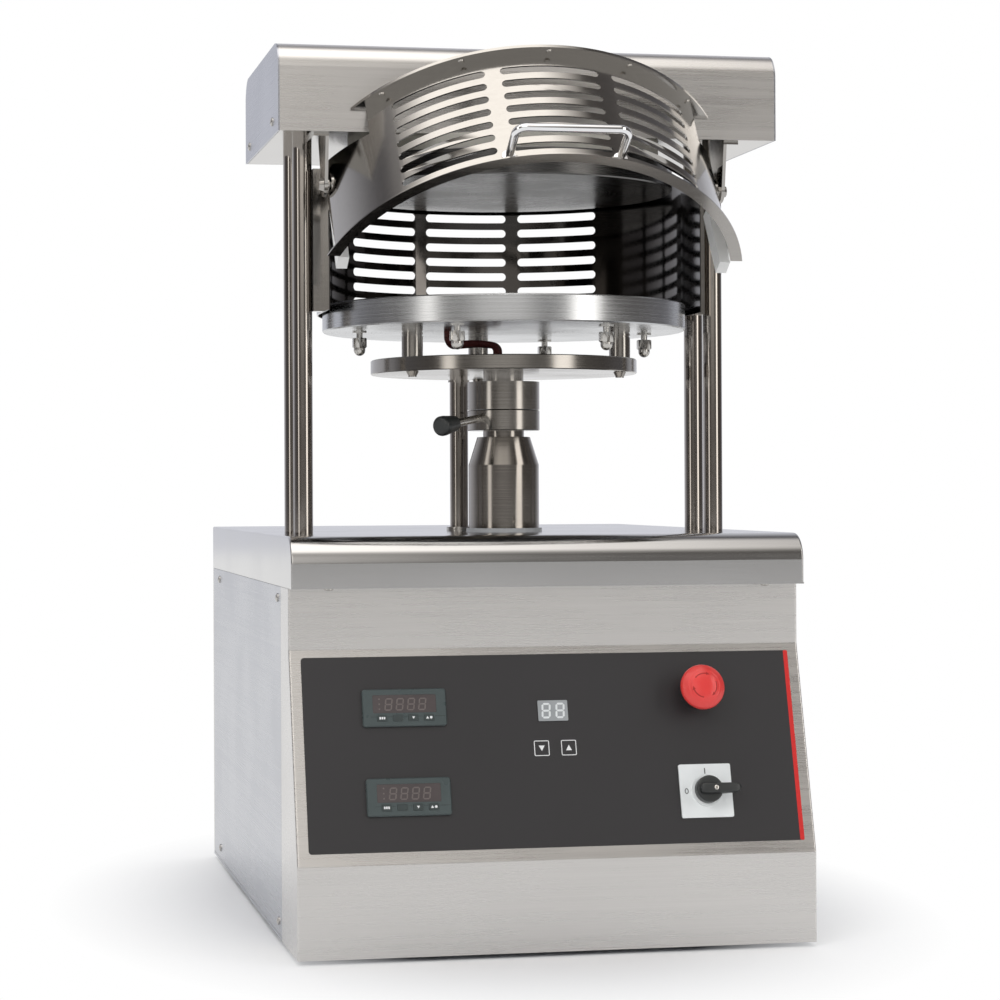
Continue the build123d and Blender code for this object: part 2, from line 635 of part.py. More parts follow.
# Emergency stop: fixed collar and contact block, pushed stem, turning mushroom
STEM_BOTTOM = -18.0
STEM_TOP = 24.0
MUSHROOM_BOTTOM = 13.0
MUSHROOM_TOP = 33.0
with BuildPart() as stop_collar:
    with BuildSketch(PANEL.offset(FILM_THICKNESS)):
        with Locations((STOP_X, STOP_V)):
            Circle(STOP_COLLAR_R)
    extrude(amount=STOP_COLLAR_HEIGHT - FILM_THICKNESS, taper=8)
    with BuildSketch(PANEL.offset(FILM_THICKNESS)):
        with Locations((STOP_X, STOP_V)):
            Circle(STOP_TUBE_R)
    extrude(amount=-28.0)
    with BuildSketch(PANEL.offset(-25.0)):
        with Locations((STOP_X, STOP_V)):
            Rectangle(30, 38)
    extrude(amount=-30.0)
    with BuildSketch(PANEL.offset(STOP_COLLAR_HEIGHT)):
        with Locations((STOP_X, STOP_V)):
            Circle(STOP_STEM_R + FIT)
    extrude(amount=STEM_BOTTOM - STOP_TRAVEL - STOP_COLLAR_HEIGHT - 1, mode=Mode.SUBTRACT)
save(stop_collar, "stop_collar")

STEM_HEAD_R = STOP_STEM_R - 2.0
with BuildPart() as stop_stem:
    with BuildSketch(PANEL.offset(STEM_BOTTOM)):
        with Locations((STOP_X, STOP_V)):
            Circle(STOP_STEM_R)
    extrude(amount=MUSHROOM_BOTTOM - SEAT_GAP - STEM_BOTTOM)
    with BuildSketch(PANEL.offset(STEM_BOTTOM)):
        with Locations((STOP_X, STOP_V)):
            Circle(STEM_HEAD_R)
    extrude(amount=STEM_TOP - STEM_BOTTOM)
save(stop_stem, "stop_stem")

MUSHROOM_NECK_R = 13.0
MUSHROOM_NECK = 4.5
with BuildPart() as stop_button:
    with BuildSketch(PANEL.offset(MUSHROOM_BOTTOM)):
        with Locations((STOP_X, STOP_V)):
            Circle(MUSHROOM_NECK_R)
    extrude(amount=MUSHROOM_NECK)
    with BuildSketch(PANEL.offset(MUSHROOM_BOTTOM + MUSHROOM_NECK)):
        with Locations((STOP_X, STOP_V)):
            Circle(STOP_R)
    extrude(amount=MUSHROOM_TOP - MUSHROOM_BOTTOM - MUSHROOM_NECK)
    fillet(stop_button.edges().sort_by(PANEL_OUT)[-1], 8.0)
    rims = stop_button.edges().filter_by(GeomType.CIRCLE).group_by(SortBy.RADIUS)[-1]
    fillet(rims.sort_by(PANEL_OUT)[0], 3.0)
    with BuildSketch(PANEL.offset(MUSHROOM_BOTTOM)):
        with Locations((STOP_X, STOP_V)):
            Circle(STEM_HEAD_R + FIT)
    extrude(amount=STEM_TOP + SEAT_GAP - MUSHROOM_BOTTOM, mode=Mode.SUBTRACT)
save(stop_button, "stop_button")

# Main switch: square plate with its block behind, and the knob with a long grip
SWITCH_PLATE_THICKNESS = 2.0
SWITCH_COLLAR_HEIGHT = 3.5
knob_bottom = FILM_THICKNESS + SWITCH_PLATE_THICKNESS + SWITCH_COLLAR_HEIGHT
SHAFT_R = 4.0
SHAFT_DEPTH = 14.0
with BuildPart() as switch_plate:
    with BuildSketch(PANEL.offset(FILM_THICKNESS)):
        with Locations((SWITCH_X, SWITCH_V)):
            RectangleRounded(SWITCH_PLATE, SWITCH_PLATE, 1.5)
    extrude(amount=SWITCH_PLATE_THICKNESS)
    with BuildSketch(PANEL.offset(FILM_THICKNESS + SWITCH_PLATE_THICKNESS)):
        with Locations((SWITCH_X, SWITCH_V)):
            Circle(SWITCH_COLLAR_R)
    extrude(amount=SWITCH_COLLAR_HEIGHT)
    with BuildSketch(PANEL.offset(FILM_THICKNESS)):
        with Locations((SWITCH_X, SWITCH_V)):
            Circle(SWITCH_TUBE_R)
    extrude(amount=-SWITCH_NECK - 2)
    with BuildSketch(PANEL.offset(-SWITCH_NECK)):
        with Locations((SWITCH_X, SWITCH_V)):
            Rectangle(SWITCH_BLOCK, SWITCH_BLOCK)
    extrude(amount=-SWITCH_BLOCK_DEPTH)
    with BuildSketch(PANEL.offset(knob_bottom)):
        with Locations((SWITCH_X, SWITCH_V)):
            Circle(SHAFT_R + FIT)
    extrude(amount=-SHAFT_DEPTH - 1, mode=Mode.SUBTRACT)
save(switch_plate, "switch_plate")

KNOB_HEIGHT = 9.0
KNOB_GRIP_HEIGHT = 15.0
KNOB_GRIP_WIDTH = 9.5
KNOB_GRIP_BACK = 10.0
with BuildPart() as switch_knob:
    with BuildSketch(PANEL.offset(knob_bottom + SEAT_GAP)):
        with Locations((SWITCH_X, SWITCH_V)):
            Circle(KNOB_R)
    extrude(amount=KNOB_HEIGHT)
    with BuildSketch(PANEL.offset(knob_bottom + SEAT_GAP + 2)):
        with Locations((SWITCH_X + (KNOB_REACH - KNOB_GRIP_BACK) / 2, SWITCH_V)):
            RectangleRounded(KNOB_REACH + KNOB_GRIP_BACK, KNOB_GRIP_WIDTH, 3.0)
    extrude(amount=KNOB_GRIP_HEIGHT - 2)
    fillet(switch_knob.faces().sort_by(PANEL_OUT)[-1].edges(), 1.5)
    with BuildSketch(PANEL.offset(knob_bottom + SEAT_GAP)):
        with Locations((SWITCH_X, SWITCH_V)):
            Circle(SHAFT_R)
    extrude(amount=-SHAFT_DEPTH)
save(switch_knob, "switch_knob")

# Four columns from the deck's sockets up into the head
COLUMN_NAMES = ("front_left", "rear_left", "front_right", "rear_right")
column_foot_z = DECK_BOTTOM_Z - SOCKET_HEIGHT + 4
column_top_z = HEAD_BOTTOM_Z + HEAD_PLATE_THICKNESS + HEAD_SOCKET_HEIGHT
for column_name, place in zip(COLUMN_NAMES, column_places):
    with BuildPart() as column:
        with BuildSketch(Plane.XY.offset(column_foot_z)):
            with Locations(place):
                Circle(COLUMN_R)
        extrude(amount=column_top_z - column_foot_z)
    save(column, f"column_{column_name}")

# Head beam: the plate that ties the columns, with sockets and two ribs
head_inner_x = SIDE - SHEET - PANEL_SEAM
with BuildPart() as head_beam:
    with BuildSketch(Plane.XY.offset(HEAD_BOTTOM_Z)):
        with Locations((0, AXIS_Y)):
            Rectangle(2 * head_inner_x, HEAD_DEPTH - 2 * (SHEET + PANEL_SEAM))
    extrude(amount=HEAD_PLATE_THICKNESS)
    with BuildSketch(Plane.XY.offset(HEAD_BOTTOM_Z + HEAD_PLATE_THICKNESS)):
        with Locations(*column_places):
            Circle(SOCKET_R)
    extrude(amount=HEAD_SOCKET_HEIGHT)
    with BuildSketch(Plane.XY.offset(HEAD_BOTTOM_Z + HEAD_PLATE_THICKNESS)):
        with Locations((0, AXIS_Y - 2 * COLUMN_DY), (0, AXIS_Y + 2 * COLUMN_DY)):
            Rectangle(2 * head_inner_x, HEAD_RIB_THICKNESS)
    extrude(amount=HEAD_HEIGHT - HEAD_PLATE_THICKNESS - SHEET - PANEL_SEAM)
    with BuildSketch(Plane.XY.offset(HEAD_BOTTOM_Z)):
        with Locations(*column_places):
            Circle(COLUMN_R + FIT)
    extrude(amount=HEAD_PLATE_THICKNESS + HEAD_SOCKET_HEIGHT, mode=Mode.SUBTRACT)
save(head_beam, "head_beam")


def head_profile(inset):
    """The head's end view with its two round top bends, drawn in by an inset."""
    with BuildSketch() as profile:
        with Locations((AXIS_Y, HEAD_BOTTOM_Z + HEAD_HEIGHT / 2)):
            Rectangle(HEAD_DEPTH - 2 * inset, HEAD_HEIGHT - 2 * inset)
        fillet(profile.vertices().group_by(Axis.Y)[-1], HEAD_BEND_R - inset)
    return profile.sketch


with BuildPart() as head_cover:
    with BuildSketch(Plane.YZ):
        add(head_profile(0))
        add(head_profile(SHEET), mode=Mode.SUBTRACT)
        with Locations((AXIS_Y, HEAD_BOTTOM_Z)):
            Rectangle(HEAD_DEPTH - 2 * SHEET, 4 * SHEET, mode=Mode.SUBTRACT)
    extrude(amount=SIDE - SHEET, both=True)
save(head_cover, "head_cover")

head_screw_places = [(HEAD_FRONT + 40.0, HEAD_BOTTOM_Z + 13.0), (HEAD_BACK - 34.0, HEAD_BOTTOM_Z + 13.0)]
for end_name, side in (("head_end_left", -1), ("head_end_right", 1)):
    with BuildPart() as head_end:
        with BuildSketch(Plane.YZ.offset(side * SIDE)):
            add(head_profile(0))
            with Locations(*head_screw_places):
                Circle(SCREW_R + FIT, mode=Mode.SUBTRACT)
        extrude(amount=-side * SHEET)
    save(head_end, end_name)

with BuildPart() as head_screws:
    for side in (-1, 1):
        with BuildSketch(Plane.YZ.offset(side * SIDE)):
            with Locations(*head_screw_places):
                Circle(SCREW_HEAD_R)
        extrude(amount=side * SCREW_HEAD_HEIGHT, taper=25)
        with BuildSketch(Plane.YZ.offset(side * SIDE)):
            with Locations(*head_screw_places):
                Circle(SCREW_R)
        extrude(amount=-side * SHEET)
save(head_screws, "head_screws")

# Upper platen under its insulating board
with BuildPart() as upper_insulation:
    with BuildSketch(Plane.XY.offset(HEAD_BOTTOM_Z - INSULATION_THICKNESS)):
        with Locations((0, AXIS_Y)):
            Circle(INSULATION_R)
    extrude(amount=INSULATION_THICKNESS)
save(upper_insulation, "upper_insulation")

PLATEN_CHAMFER = 1.2
with BuildPart() as upper_platen:
    with BuildSketch(Plane.XY.offset(UPPER_PLATEN_Z)):
        with Locations((0, AXIS_Y)):
            Circle(UPPER_PLATEN_R)
    extrude(amount=UPPER_PLATEN_THICKNESS)
    chamfer(upper_platen.edges(), PLATEN_CHAMFER)
save(upper_platen, "upper_platen")

# Rising group: heated lower platen
with BuildPart() as lower_platen:
    with BuildSketch(Plane.XY.offset(LOWER_PLATEN_Z)):
        with Locations((0, AXIS_Y)):
            Circle(LOWER_PLATEN_R)
    extrude(amount=LOWER_PLATEN_THICKNESS)
    chamfer(lower_platen.edges(), PLATEN_CHAMFER)
save(lower_platen, "lower_platen")

# Three posts between the disc and the platen, each with two grooves and a dome screw below
GROOVE = 0.8
GROOVE_HEIGHT = 1.2
DOME_R = 6.2
DOME_HEIGHT = 5.0
POST_ANGLES = (90, 210, 330)
post_places = [(POST_CIRCLE_R * cos(radians(a)), AXIS_Y + POST_CIRCLE_R * sin(radians(a))) for a in POST_ANGLES]
with BuildPart() as spacer_posts:
    with BuildSketch(Plane.XY.offset(POST_Z)):
        with Locations(*post_places):
            Circle(POST_R)
    extrude(amount=POST_HEIGHT)
    for below_top in (4.0, 7.5):
        with BuildSketch(Plane.XY.offset(LOWER_PLATEN_Z - below_top)):
            with Locations(*post_places):
                Circle(POST_R + 1)
                Circle(POST_R - GROOVE, mode=Mode.SUBTRACT)
        extrude(amount=GROOVE_HEIGHT, mode=Mode.SUBTRACT)
    with BuildSketch(Plane.XY.offset(DISC_Z - DOME_HEIGHT)):
        with Locations(*post_places):
            Circle(4.0)
    extrude(amount=DOME_HEIGHT + DISC_THICKNESS)
    with BuildSketch(Plane.XY.offset(DISC_Z)):
        with Locations(*post_places):
            Circle(DOME_R)
    extrude(amount=-DOME_HEIGHT, taper=28)
save(spacer_posts, "spacer_posts")

# Disc with its neck and threaded hub
GROMMET_R = 16.0
GROMMET_HOLE_R = 12.0
with BuildPart() as ram_disc:
    with BuildSketch(Plane.XY.offset(DISC_Z)):
        with Locations((0, AXIS_Y)):
            Circle(DISC_R)
    extrude(amount=DISC_THICKNESS)
    chamfer(ram_disc.edges(), 0.8)
    with BuildSketch(Plane.XY.offset(HUB_Z + HUB_HEIGHT - 1)):
        with Locations((0, AXIS_Y)):
            Circle(HUB_NECK_R)
    extrude(amount=HUB_NECK_HEIGHT + 1)
    with BuildSketch(Plane.XY.offset(HUB_Z)):
        with Locations((0, AXIS_Y)):
            Circle(RING_R)
    extrude(amount=HUB_HEIGHT)
    with BuildSketch(Plane.XY.offset(HUB_Z)):
        with Locations((0, AXIS_Y)):
            Circle(SPINDLE_R + FIT)
    extrude(amount=RING_Z + SPINDLE_HEIGHT - HUB_Z + SEAT_GAP, mode=Mode.SUBTRACT)
    with BuildSketch(Plane.XY.offset(POST_Z)):
        with Locations((0, AXIS_Y)):
            Circle(GROMMET_HOLE_R + FIT)
    extrude(amount=-DISC_THICKNESS + 1, mode=Mode.SUBTRACT)
    with BuildSketch(Plane.XY.offset(DISC_Z)):
        with Locations(*post_places):
            Circle(4.0 + FIT)
    extrude(amount=DISC_THICKNESS, mode=Mode.SUBTRACT)
save(ram_disc, "ram_disc")

# Six levelling studs with washers and acorn nuts under the platen
NUT_R = 7.2
NUT_CROWN_R = 5.4
STUD_R = 3.0
WASHER_R = 7.0
washer_z = LOWER_PLATEN_Z - NUT_WASHER
nut_z = washer_z - NUT_STUD_SHOWING
with BuildPart() as levelling_nuts:
    with BuildSketch(Plane.XY.offset(LOWER_PLATEN_Z)):
        with Locations((0, AXIS_Y)):
            with PolarLocations(NUT_CIRCLE_R, 6):
                Circle(WASHER_R)
    extrude(amount=-NUT_WASHER)
    with BuildSketch(Plane.XY.offset(washer_z)):
        with Locations((0, AXIS_Y)):
            with PolarLocations(NUT_CIRCLE_R, 6):
                Circle(STUD_R)
    extrude(amount=-NUT_STUD_SHOWING)
    with BuildSketch(Plane.XY.offset(nut_z)):
        with Locations((0, AXIS_Y)):
            with PolarLocations(NUT_CIRCLE_R, 6):
                RegularPolygon(NUT_R, 6)
    extrude(amount=-NUT_HEIGHT)
    with BuildSketch(Plane.XY.offset(nut_z - NUT_HEIGHT)):
        with Locations((0, AXIS_Y)):
            with PolarLocations(NUT_CIRCLE_R, 6):
                Circle(NUT_CROWN_R)
    extrude(amount=-NUT_CROWN_HEIGHT, taper=16)
save(levelling_nuts, "levelling_nuts")

# Two sleeved heater leads from the platen down through the grommet in the disc
LEAD_R = 3.2
lead_routes = (((-58, -14), (-26, -2), (-7.5, -3)), ((-50, 22), (-22, 12), (-3, 6)))
with BuildPart() as heater_leads:
    with BuildSketch(Plane.XY.offset(POST_Z)):
        with Locations((0, AXIS_Y)):
            Circle(GROMMET_R)
            Circle(GROMMET_HOLE_R - 2, mode=Mode.SUBTRACT)
    extrude(amount=3.0)
    with BuildSketch(Plane.XY.offset(POST_Z)):
        with Locations((0, AXIS_Y)):
            Circle(GROMMET_HOLE_R)
            Circle(GROMMET_HOLE_R - 2, mode=Mode.SUBTRACT)
    extrude(amount=-DISC_THICKNESS + 2)
    for start, middle, end in lead_routes:
        lead_z = (LOWER_PLATEN_Z + POST_Z) / 2 + 1
        points = [(start[0], AXIS_Y + start[1], LOWER_PLATEN_Z),
                  (start[0], AXIS_Y + start[1], lead_z),
                  (middle[0], AXIS_Y + middle[1], lead_z + 2),
                  (end[0], AXIS_Y + end[1], lead_z),
                  (end[0], AXIS_Y + end[1], DISC_Z + 4)]
        with BuildLine() as lead_path:
            FilletPolyline(*points, radius=6.5)
        with BuildSketch(Plane(origin=points[0], z_dir=(0, 0, -1))):
            Circle(LEAD_R)
        sweep(path=lead_path.line)
save(heater_leads, "heater_leads")

# Adjusting ring that turns on the ram's spindle, with its lever and grip
lever_plane = Plane(
    origin=(0, AXIS_Y, RING_Z + RING_HEIGHT - 7.5 + 4.9),
    x_dir=(sin(radians(LEVER_AZIMUTH)), -cos(radians(LEVER_AZIMUTH)), 0),
    z_dir=(cos(radians(LEVER_DROOP)) * cos(radians(LEVER_AZIMUTH)),
           cos(radians(LEVER_DROOP)) * sin(radians(LEVER_AZIMUTH)), -sin(radians(LEVER_DROOP))),
)
LEVER_ROOT = 23.0
with BuildPart() as adjuster_ring:
    with BuildSketch(Plane.XY.offset(RING_Z + SEAT_GAP / 2)):
        with Locations((0, AXIS_Y)):
            Circle(RING_R)
            Circle(SPINDLE_R + FIT, mode=Mode.SUBTRACT)
    extrude(amount=RING_HEIGHT - SEAT_GAP / 2)
    chamfer(adjuster_ring.edges().filter_by(GeomType.CIRCLE).group_by(SortBy.RADIUS)[-1], 0.7)
    with BuildSketch(lever_plane.offset(LEVER_ROOT)):
        Circle(LEVER_R + FIT)
    extrude(amount=RING_R, mode=Mode.SUBTRACT)
save(adjuster_ring, "adjuster_ring")

GRIP_CORE = 16.0
with BuildPart() as adjuster_lever:
    with BuildSketch(lever_plane.offset(LEVER_ROOT + SEAT_GAP)):
        Circle(LEVER_R)
    extrude(amount=LEVER_REACH + GRIP_CORE - LEVER_ROOT)
save(adjuster_lever, "adjuster_lever")

with BuildPart() as lever_grip:
    with BuildSketch(lever_plane.offset(LEVER_REACH)):
        Circle(GRIP_R * 0.78)
    with BuildSketch(lever_plane.offset(LEVER_REACH + GRIP_LENGTH * 0.7)):
        Circle(GRIP_R)
    loft()
    with BuildSketch(lever_plane.offset(LEVER_REACH + GRIP_LENGTH * 0.7)):
        Circle(GRIP_R)
    extrude(amount=GRIP_LENGTH * 0.3)
    fillet(lever_grip.edges().sort_by(Axis(lever_plane.origin, lever_plane.z_dir))[-1], 4.0)
    with BuildSketch(lever_plane.offset(LEVER_REACH)):
        Circle(LEVER_R + FIT)
    extrude(amount=GRIP_CORE + 1, mode=Mode.SUBTRACT)
save(lever_grip, "lever_grip")

# Ram: hollow piston, cone, neck and spindle
SET_HOLE_R = 3.4
SET_HOLE_Z = 12.0
with BuildPart() as ram:
    with BuildSketch(Plane((0, AXIS_Y, 0), x_dir=(1, 0, 0), z_dir=(0, -1, 0))):
        Polygon((0, RAM_BOTTOM_Z), (RAM_R, RAM_BOTTOM_Z), (RAM_R, CONE_BASE_Z), (CONE_TOP_R, NECK_Z),
                (NECK_R, NECK_Z), (NECK_R, RING_Z), (SPINDLE_R, RING_Z),
                (SPINDLE_R, RING_Z + SPINDLE_HEIGHT), (0, RING_Z + SPINDLE_HEIGHT), align=None)
    revolve(axis=Axis((0, AXIS_Y, 0), (0, 0, 1)))
    with BuildSketch(Plane.XY.offset(RAM_BOTTOM_Z)):
        with Locations((0, AXIS_Y)):
            Circle(RAM_BORE_R)
    extrude(amount=CONE_BASE_Z - RAM_BOTTOM_Z, mode=Mode.SUBTRACT)
    with BuildSketch(Plane((0, AXIS_Y - RAM_R - 1, COVER_TOP_Z + SET_HOLE_Z), x_dir=(1, 0, 0), z_dir=(0, 1, 0))):
        Circle(SET_HOLE_R)
    extrude(amount=5.0, mode=Mode.SUBTRACT)
save(ram, "ram")

# Lift cylinder under the deck, with its gland showing above the cover
CYLINDER_CAP = 10.0
cylinder_r = RAM_R + FIT + CYLINDER_WALL
with BuildPart() as lift_cylinder:
    with BuildSketch(Plane.XY.offset(RAM_BOTTOM_Z - CYLINDER_CAP - 2)):
        with Locations((0, AXIS_Y)):
            Circle(cylinder_r)
    extrude(amount=DECK_TOP_Z - RAM_BOTTOM_Z + CYLINDER_CAP + 2)
    with BuildSketch(Plane.XY.offset(DECK_TOP_Z)):
        with Locations((0, AXIS_Y)):
            Circle(RAM_R + FIT + GLAND_WALL)
    extrude(amount=SHEET + GLAND_HEIGHT)
    with BuildSketch(Plane.XY.offset(DECK_BOTTOM_Z)):
        with Locations((0, AXIS_Y)):
            Circle(cylinder_r + 14)
    extrude(amount=-10.0)
    with BuildSketch(Plane.XY.offset(RAM_BOTTOM_Z - 2)):
        with Locations((0, AXIS_Y)):
            Circle(RAM_R + FIT)
    extrude(amount=COVER_TOP_Z + GLAND_HEIGHT - RAM_BOTTOM_Z + 2, mode=Mode.SUBTRACT)
save(lift_cylinder, "lift_cylinder")

# Guide rod that keeps the disc from turning, and its bush
guide_place = (GUIDE_X, AXIS_Y + GUIDE_DY)
with BuildPart() as guide_rod:
    with BuildSketch(Plane.XY.offset(GUIDE_ROD_BOTTOM_Z)):
        with Locations(guide_place):
            Circle(GUIDE_ROD_R)
    extrude(amount=DISC_Z - GUIDE_ROD_BOTTOM_Z)
    with BuildSketch(Plane.XY.offset(DISC_Z - 5.0)):
        with Locations(guide_place):
            Circle(GUIDE_ROD_R + 1.6)
    extrude(amount=2.0)
save(guide_rod, "guide_rod")

with BuildPart() as guide_bush:
    with BuildSketch(Plane.XY.offset(COVER_TOP_Z)):
        with Locations(guide_place):
            Circle(BUSH_FLANGE_R + BUSH_WALL / 4)
    extrude(amount=BUSH_FLANGE_HEIGHT)
    with BuildSketch(Plane.XY.offset(COVER_TOP_Z)):
        with Locations(guide_place):
            Circle(GUIDE_ROD_R + FIT + BUSH_WALL)
    extrude(amount=-BUSH_LENGTH)
    with BuildSketch(Plane.XY.offset(COVER_TOP_Z + BUSH_FLANGE_HEIGHT)):
        with Locations(guide_place):
            Circle(GUIDE_ROD_R + FIT)
    extrude(amount=-BUSH_LENGTH - BUSH_FLANGE_HEIGHT, mode=Mode.SUBTRACT)
save(guide_bush, "guide_bush")

# Fixed rear guard and the two rails that hold it to the front columns
with BuildPart() as fixed_guard:
    with BuildSketch(FIXED_GUARD):
        add(rear_outline(FIXED_GUARD_R, -FIXED_GUARD_FORWARD))
        add(rear_outline(FIXED_GUARD_R - GUARD_SHEET, -FIXED_GUARD_FORWARD - 9), mode=Mode.SUBTRACT)
    extrude(amount=FIXED_GUARD_HEIGHT)
    cut_slots(FIXED_GUARD, FIXED_GUARD_R, 0, 1, 0, FIXED_GUARD_HEIGHT)
save(fixed_guard, "fixed_guard")

rail_outer = COLUMN_X - COLUMN_R - SEAT_GAP
with BuildPart() as guard_rails:
    with BuildSketch(Plane.XY.offset(FIXED_GUARD_BOTTOM_Z)):
        with Locations(*[(side * (FIXED_GUARD_R + rail_outer) / 2, AXIS_Y - COLUMN_DY) for side in (-1, 1)]):
            Rectangle(rail_outer - FIXED_GUARD_R, RAIL_DEPTH)
    extrude(amount=FIXED_GUARD_HEIGHT)
save(guard_rails, "guard_rails")

# Moving guard, lifted: slotted bay, top flange with a riveted strip, bottom lip and pivot bosses
notch_y = GUARD_CENTRE_Y - GUARD_R * cos(radians(NOTCH_ANGLE))
ear_outline = [(notch_y, RIM - 1), (notch_y, GUARD_TOP - NOTCH_DROP), (-4.0, GUARD_TOP - 14.5), (EAR_BACK, 6.0),
               (EAR_BACK, -8.0), (EAR_FOOT_BACK, RIM), (EAR_FOOT_BACK, RIM - 1)]
with BuildPart() as moving_guard:
    with BuildSketch(GUARD.offset(RIM)):
        add(front_outline(GUARD_R, EAR_X, GUARD_CENTRE_Y, EAR_BACK))
        add(front_outline(GUARD_R - GUARD_SHEET, EAR_X - GUARD_SHEET, GUARD_CENTRE_Y, EAR_BACK + 9),
            mode=Mode.SUBTRACT)
    extrude(amount=GUARD_HEIGHT)
    with BuildSketch(on_side(GUARD, 0)):
        with Locations(((notch_y + 40) / 2, 0)):
            Rectangle(40 - notch_y, 2 * GUARD_HEIGHT)
        Polygon(*ear_outline, align=None, mode=Mode.SUBTRACT)
    extrude(amount=SIDE, both=True, mode=Mode.SUBTRACT)
    with BuildSketch(GUARD.offset(RIM)):
        add(front_outline(GUARD_R + LIP, EAR_X + LIP, GUARD_CENTRE_Y, EAR_FOOT_BACK))
        add(front_outline(GUARD_R - GUARD_SHEET, EAR_X - GUARD_SHEET, GUARD_CENTRE_Y, EAR_BACK), mode=Mode.SUBTRACT)
    extrude(amount=GUARD_SHEET)
    with BuildSketch(GUARD.offset(GUARD_TOP - RING_THICKNESS)):
        with Locations((0, GUARD_CENTRE_Y)):
            Circle(GUARD_R + RING_FLANGE)
            Circle(GUARD_R - GUARD_SHEET, mode=Mode.SUBTRACT)
        with Locations((0, notch_y + GUARD_R)):
            Rectangle(3 * GUARD_R, 2 * GUARD_R, mode=Mode.SUBTRACT)
    extrude(amount=RING_THICKNESS)
    rivet_plane = GUARD.offset(GUARD_TOP - RING_THICKNESS)
    with BuildSketch(rivet_plane):
        for step in range(-2, 3):
            angle = radians(step * RIVET_STEP)
            reach = GUARD_R + RING_FLANGE / 2
            with Locations((reach * sin(angle), GUARD_CENTRE_Y - reach * cos(angle))):
                Circle(RIVET_R)
    extrude(amount=-1.4, taper=30)
    for side in (-1, 1):
        with BuildSketch(on_side(GUARD, side * (EAR_X - GUARD_SHEET))):
            Circle(PIVOT_BOSS_R)
        extrude(amount=-side * PIVOT_BOSS_HEIGHT)
    with BuildSketch(on_side(GUARD, 0)):
        Circle(PIVOT_PIN_R + FIT)
    extrude(amount=SIDE, both=True, mode=Mode.SUBTRACT)
    cut_slots(GUARD, GUARD_R, GUARD_CENTRE_Y, -1, RIM, GUARD_HEIGHT)
    handle_z = RIM + HANDLE_ABOVE_RIM
    with BuildSketch(turned(GUARD, (0, 0, handle_z), (0, -1, 0), (1, 0, 0))):
        with Locations((-HANDLE_WIDTH / 2, 0), (HANDLE_WIDTH / 2, 0)):
            Circle(2.0 + FIT)
    extrude(amount=2 * GUARD_R, mode=Mode.SUBTRACT)
save(moving_guard, "moving_guard")

# Chromed handle with a threaded stud through the guard at each foot
handle_root = GUARD_CENTRE_Y - sqrt(GUARD_R ** 2 - (HANDLE_WIDTH / 2 - HANDLE_R) ** 2) - 0.1
handle_front = GUARD_CENTRE_Y - GUARD_R - HANDLE_STANDOFF
HANDLE_BEND_R = 9.0
with BuildPart() as guard_handle:
    corners = [(-HANDLE_WIDTH / 2, handle_root), (-HANDLE_WIDTH / 2, handle_front),
               (HANDLE_WIDTH / 2, handle_front), (HANDLE_WIDTH / 2, handle_root)]
    with BuildLine() as handle_path:
        FilletPolyline(*[GUARD.from_local_coords(Vector(x, y, handle_z)) for x, y in corners],
                       radius=HANDLE_BEND_R)
    with BuildSketch(turned(GUARD, (-HANDLE_WIDTH / 2, handle_root, handle_z), (0, -1, 0), (1, 0, 0))):
        Circle(HANDLE_R)
    sweep(path=handle_path.line)
    with BuildSketch(turned(GUARD, (0, handle_root, handle_z), (0, 1, 0), (1, 0, 0))):
        with Locations((-HANDLE_WIDTH / 2, 0), (HANDLE_WIDTH / 2, 0)):
            Circle(2.0)
    extrude(amount=8.0)
save(guard_handle, "guard_handle")

# White buffer bars inside the ears' back edges
with BuildPart() as guard_buffers:
    for side in (-1, 1):
        with BuildSketch(on_side(GUARD, side * (EAR_X - GUARD_SHEET))):
            with Locations((BUFFER_FRONT + BUFFER_WIDTH / 2, (RIM + GUARD_SHEET + BUFFER_TOP) / 2)):
                Rectangle(BUFFER_WIDTH, BUFFER_TOP - RIM - GUARD_SHEET)
        extrude(amount=-side * BUFFER_THICKNESS)
save(guard_buffers, "guard_buffers")

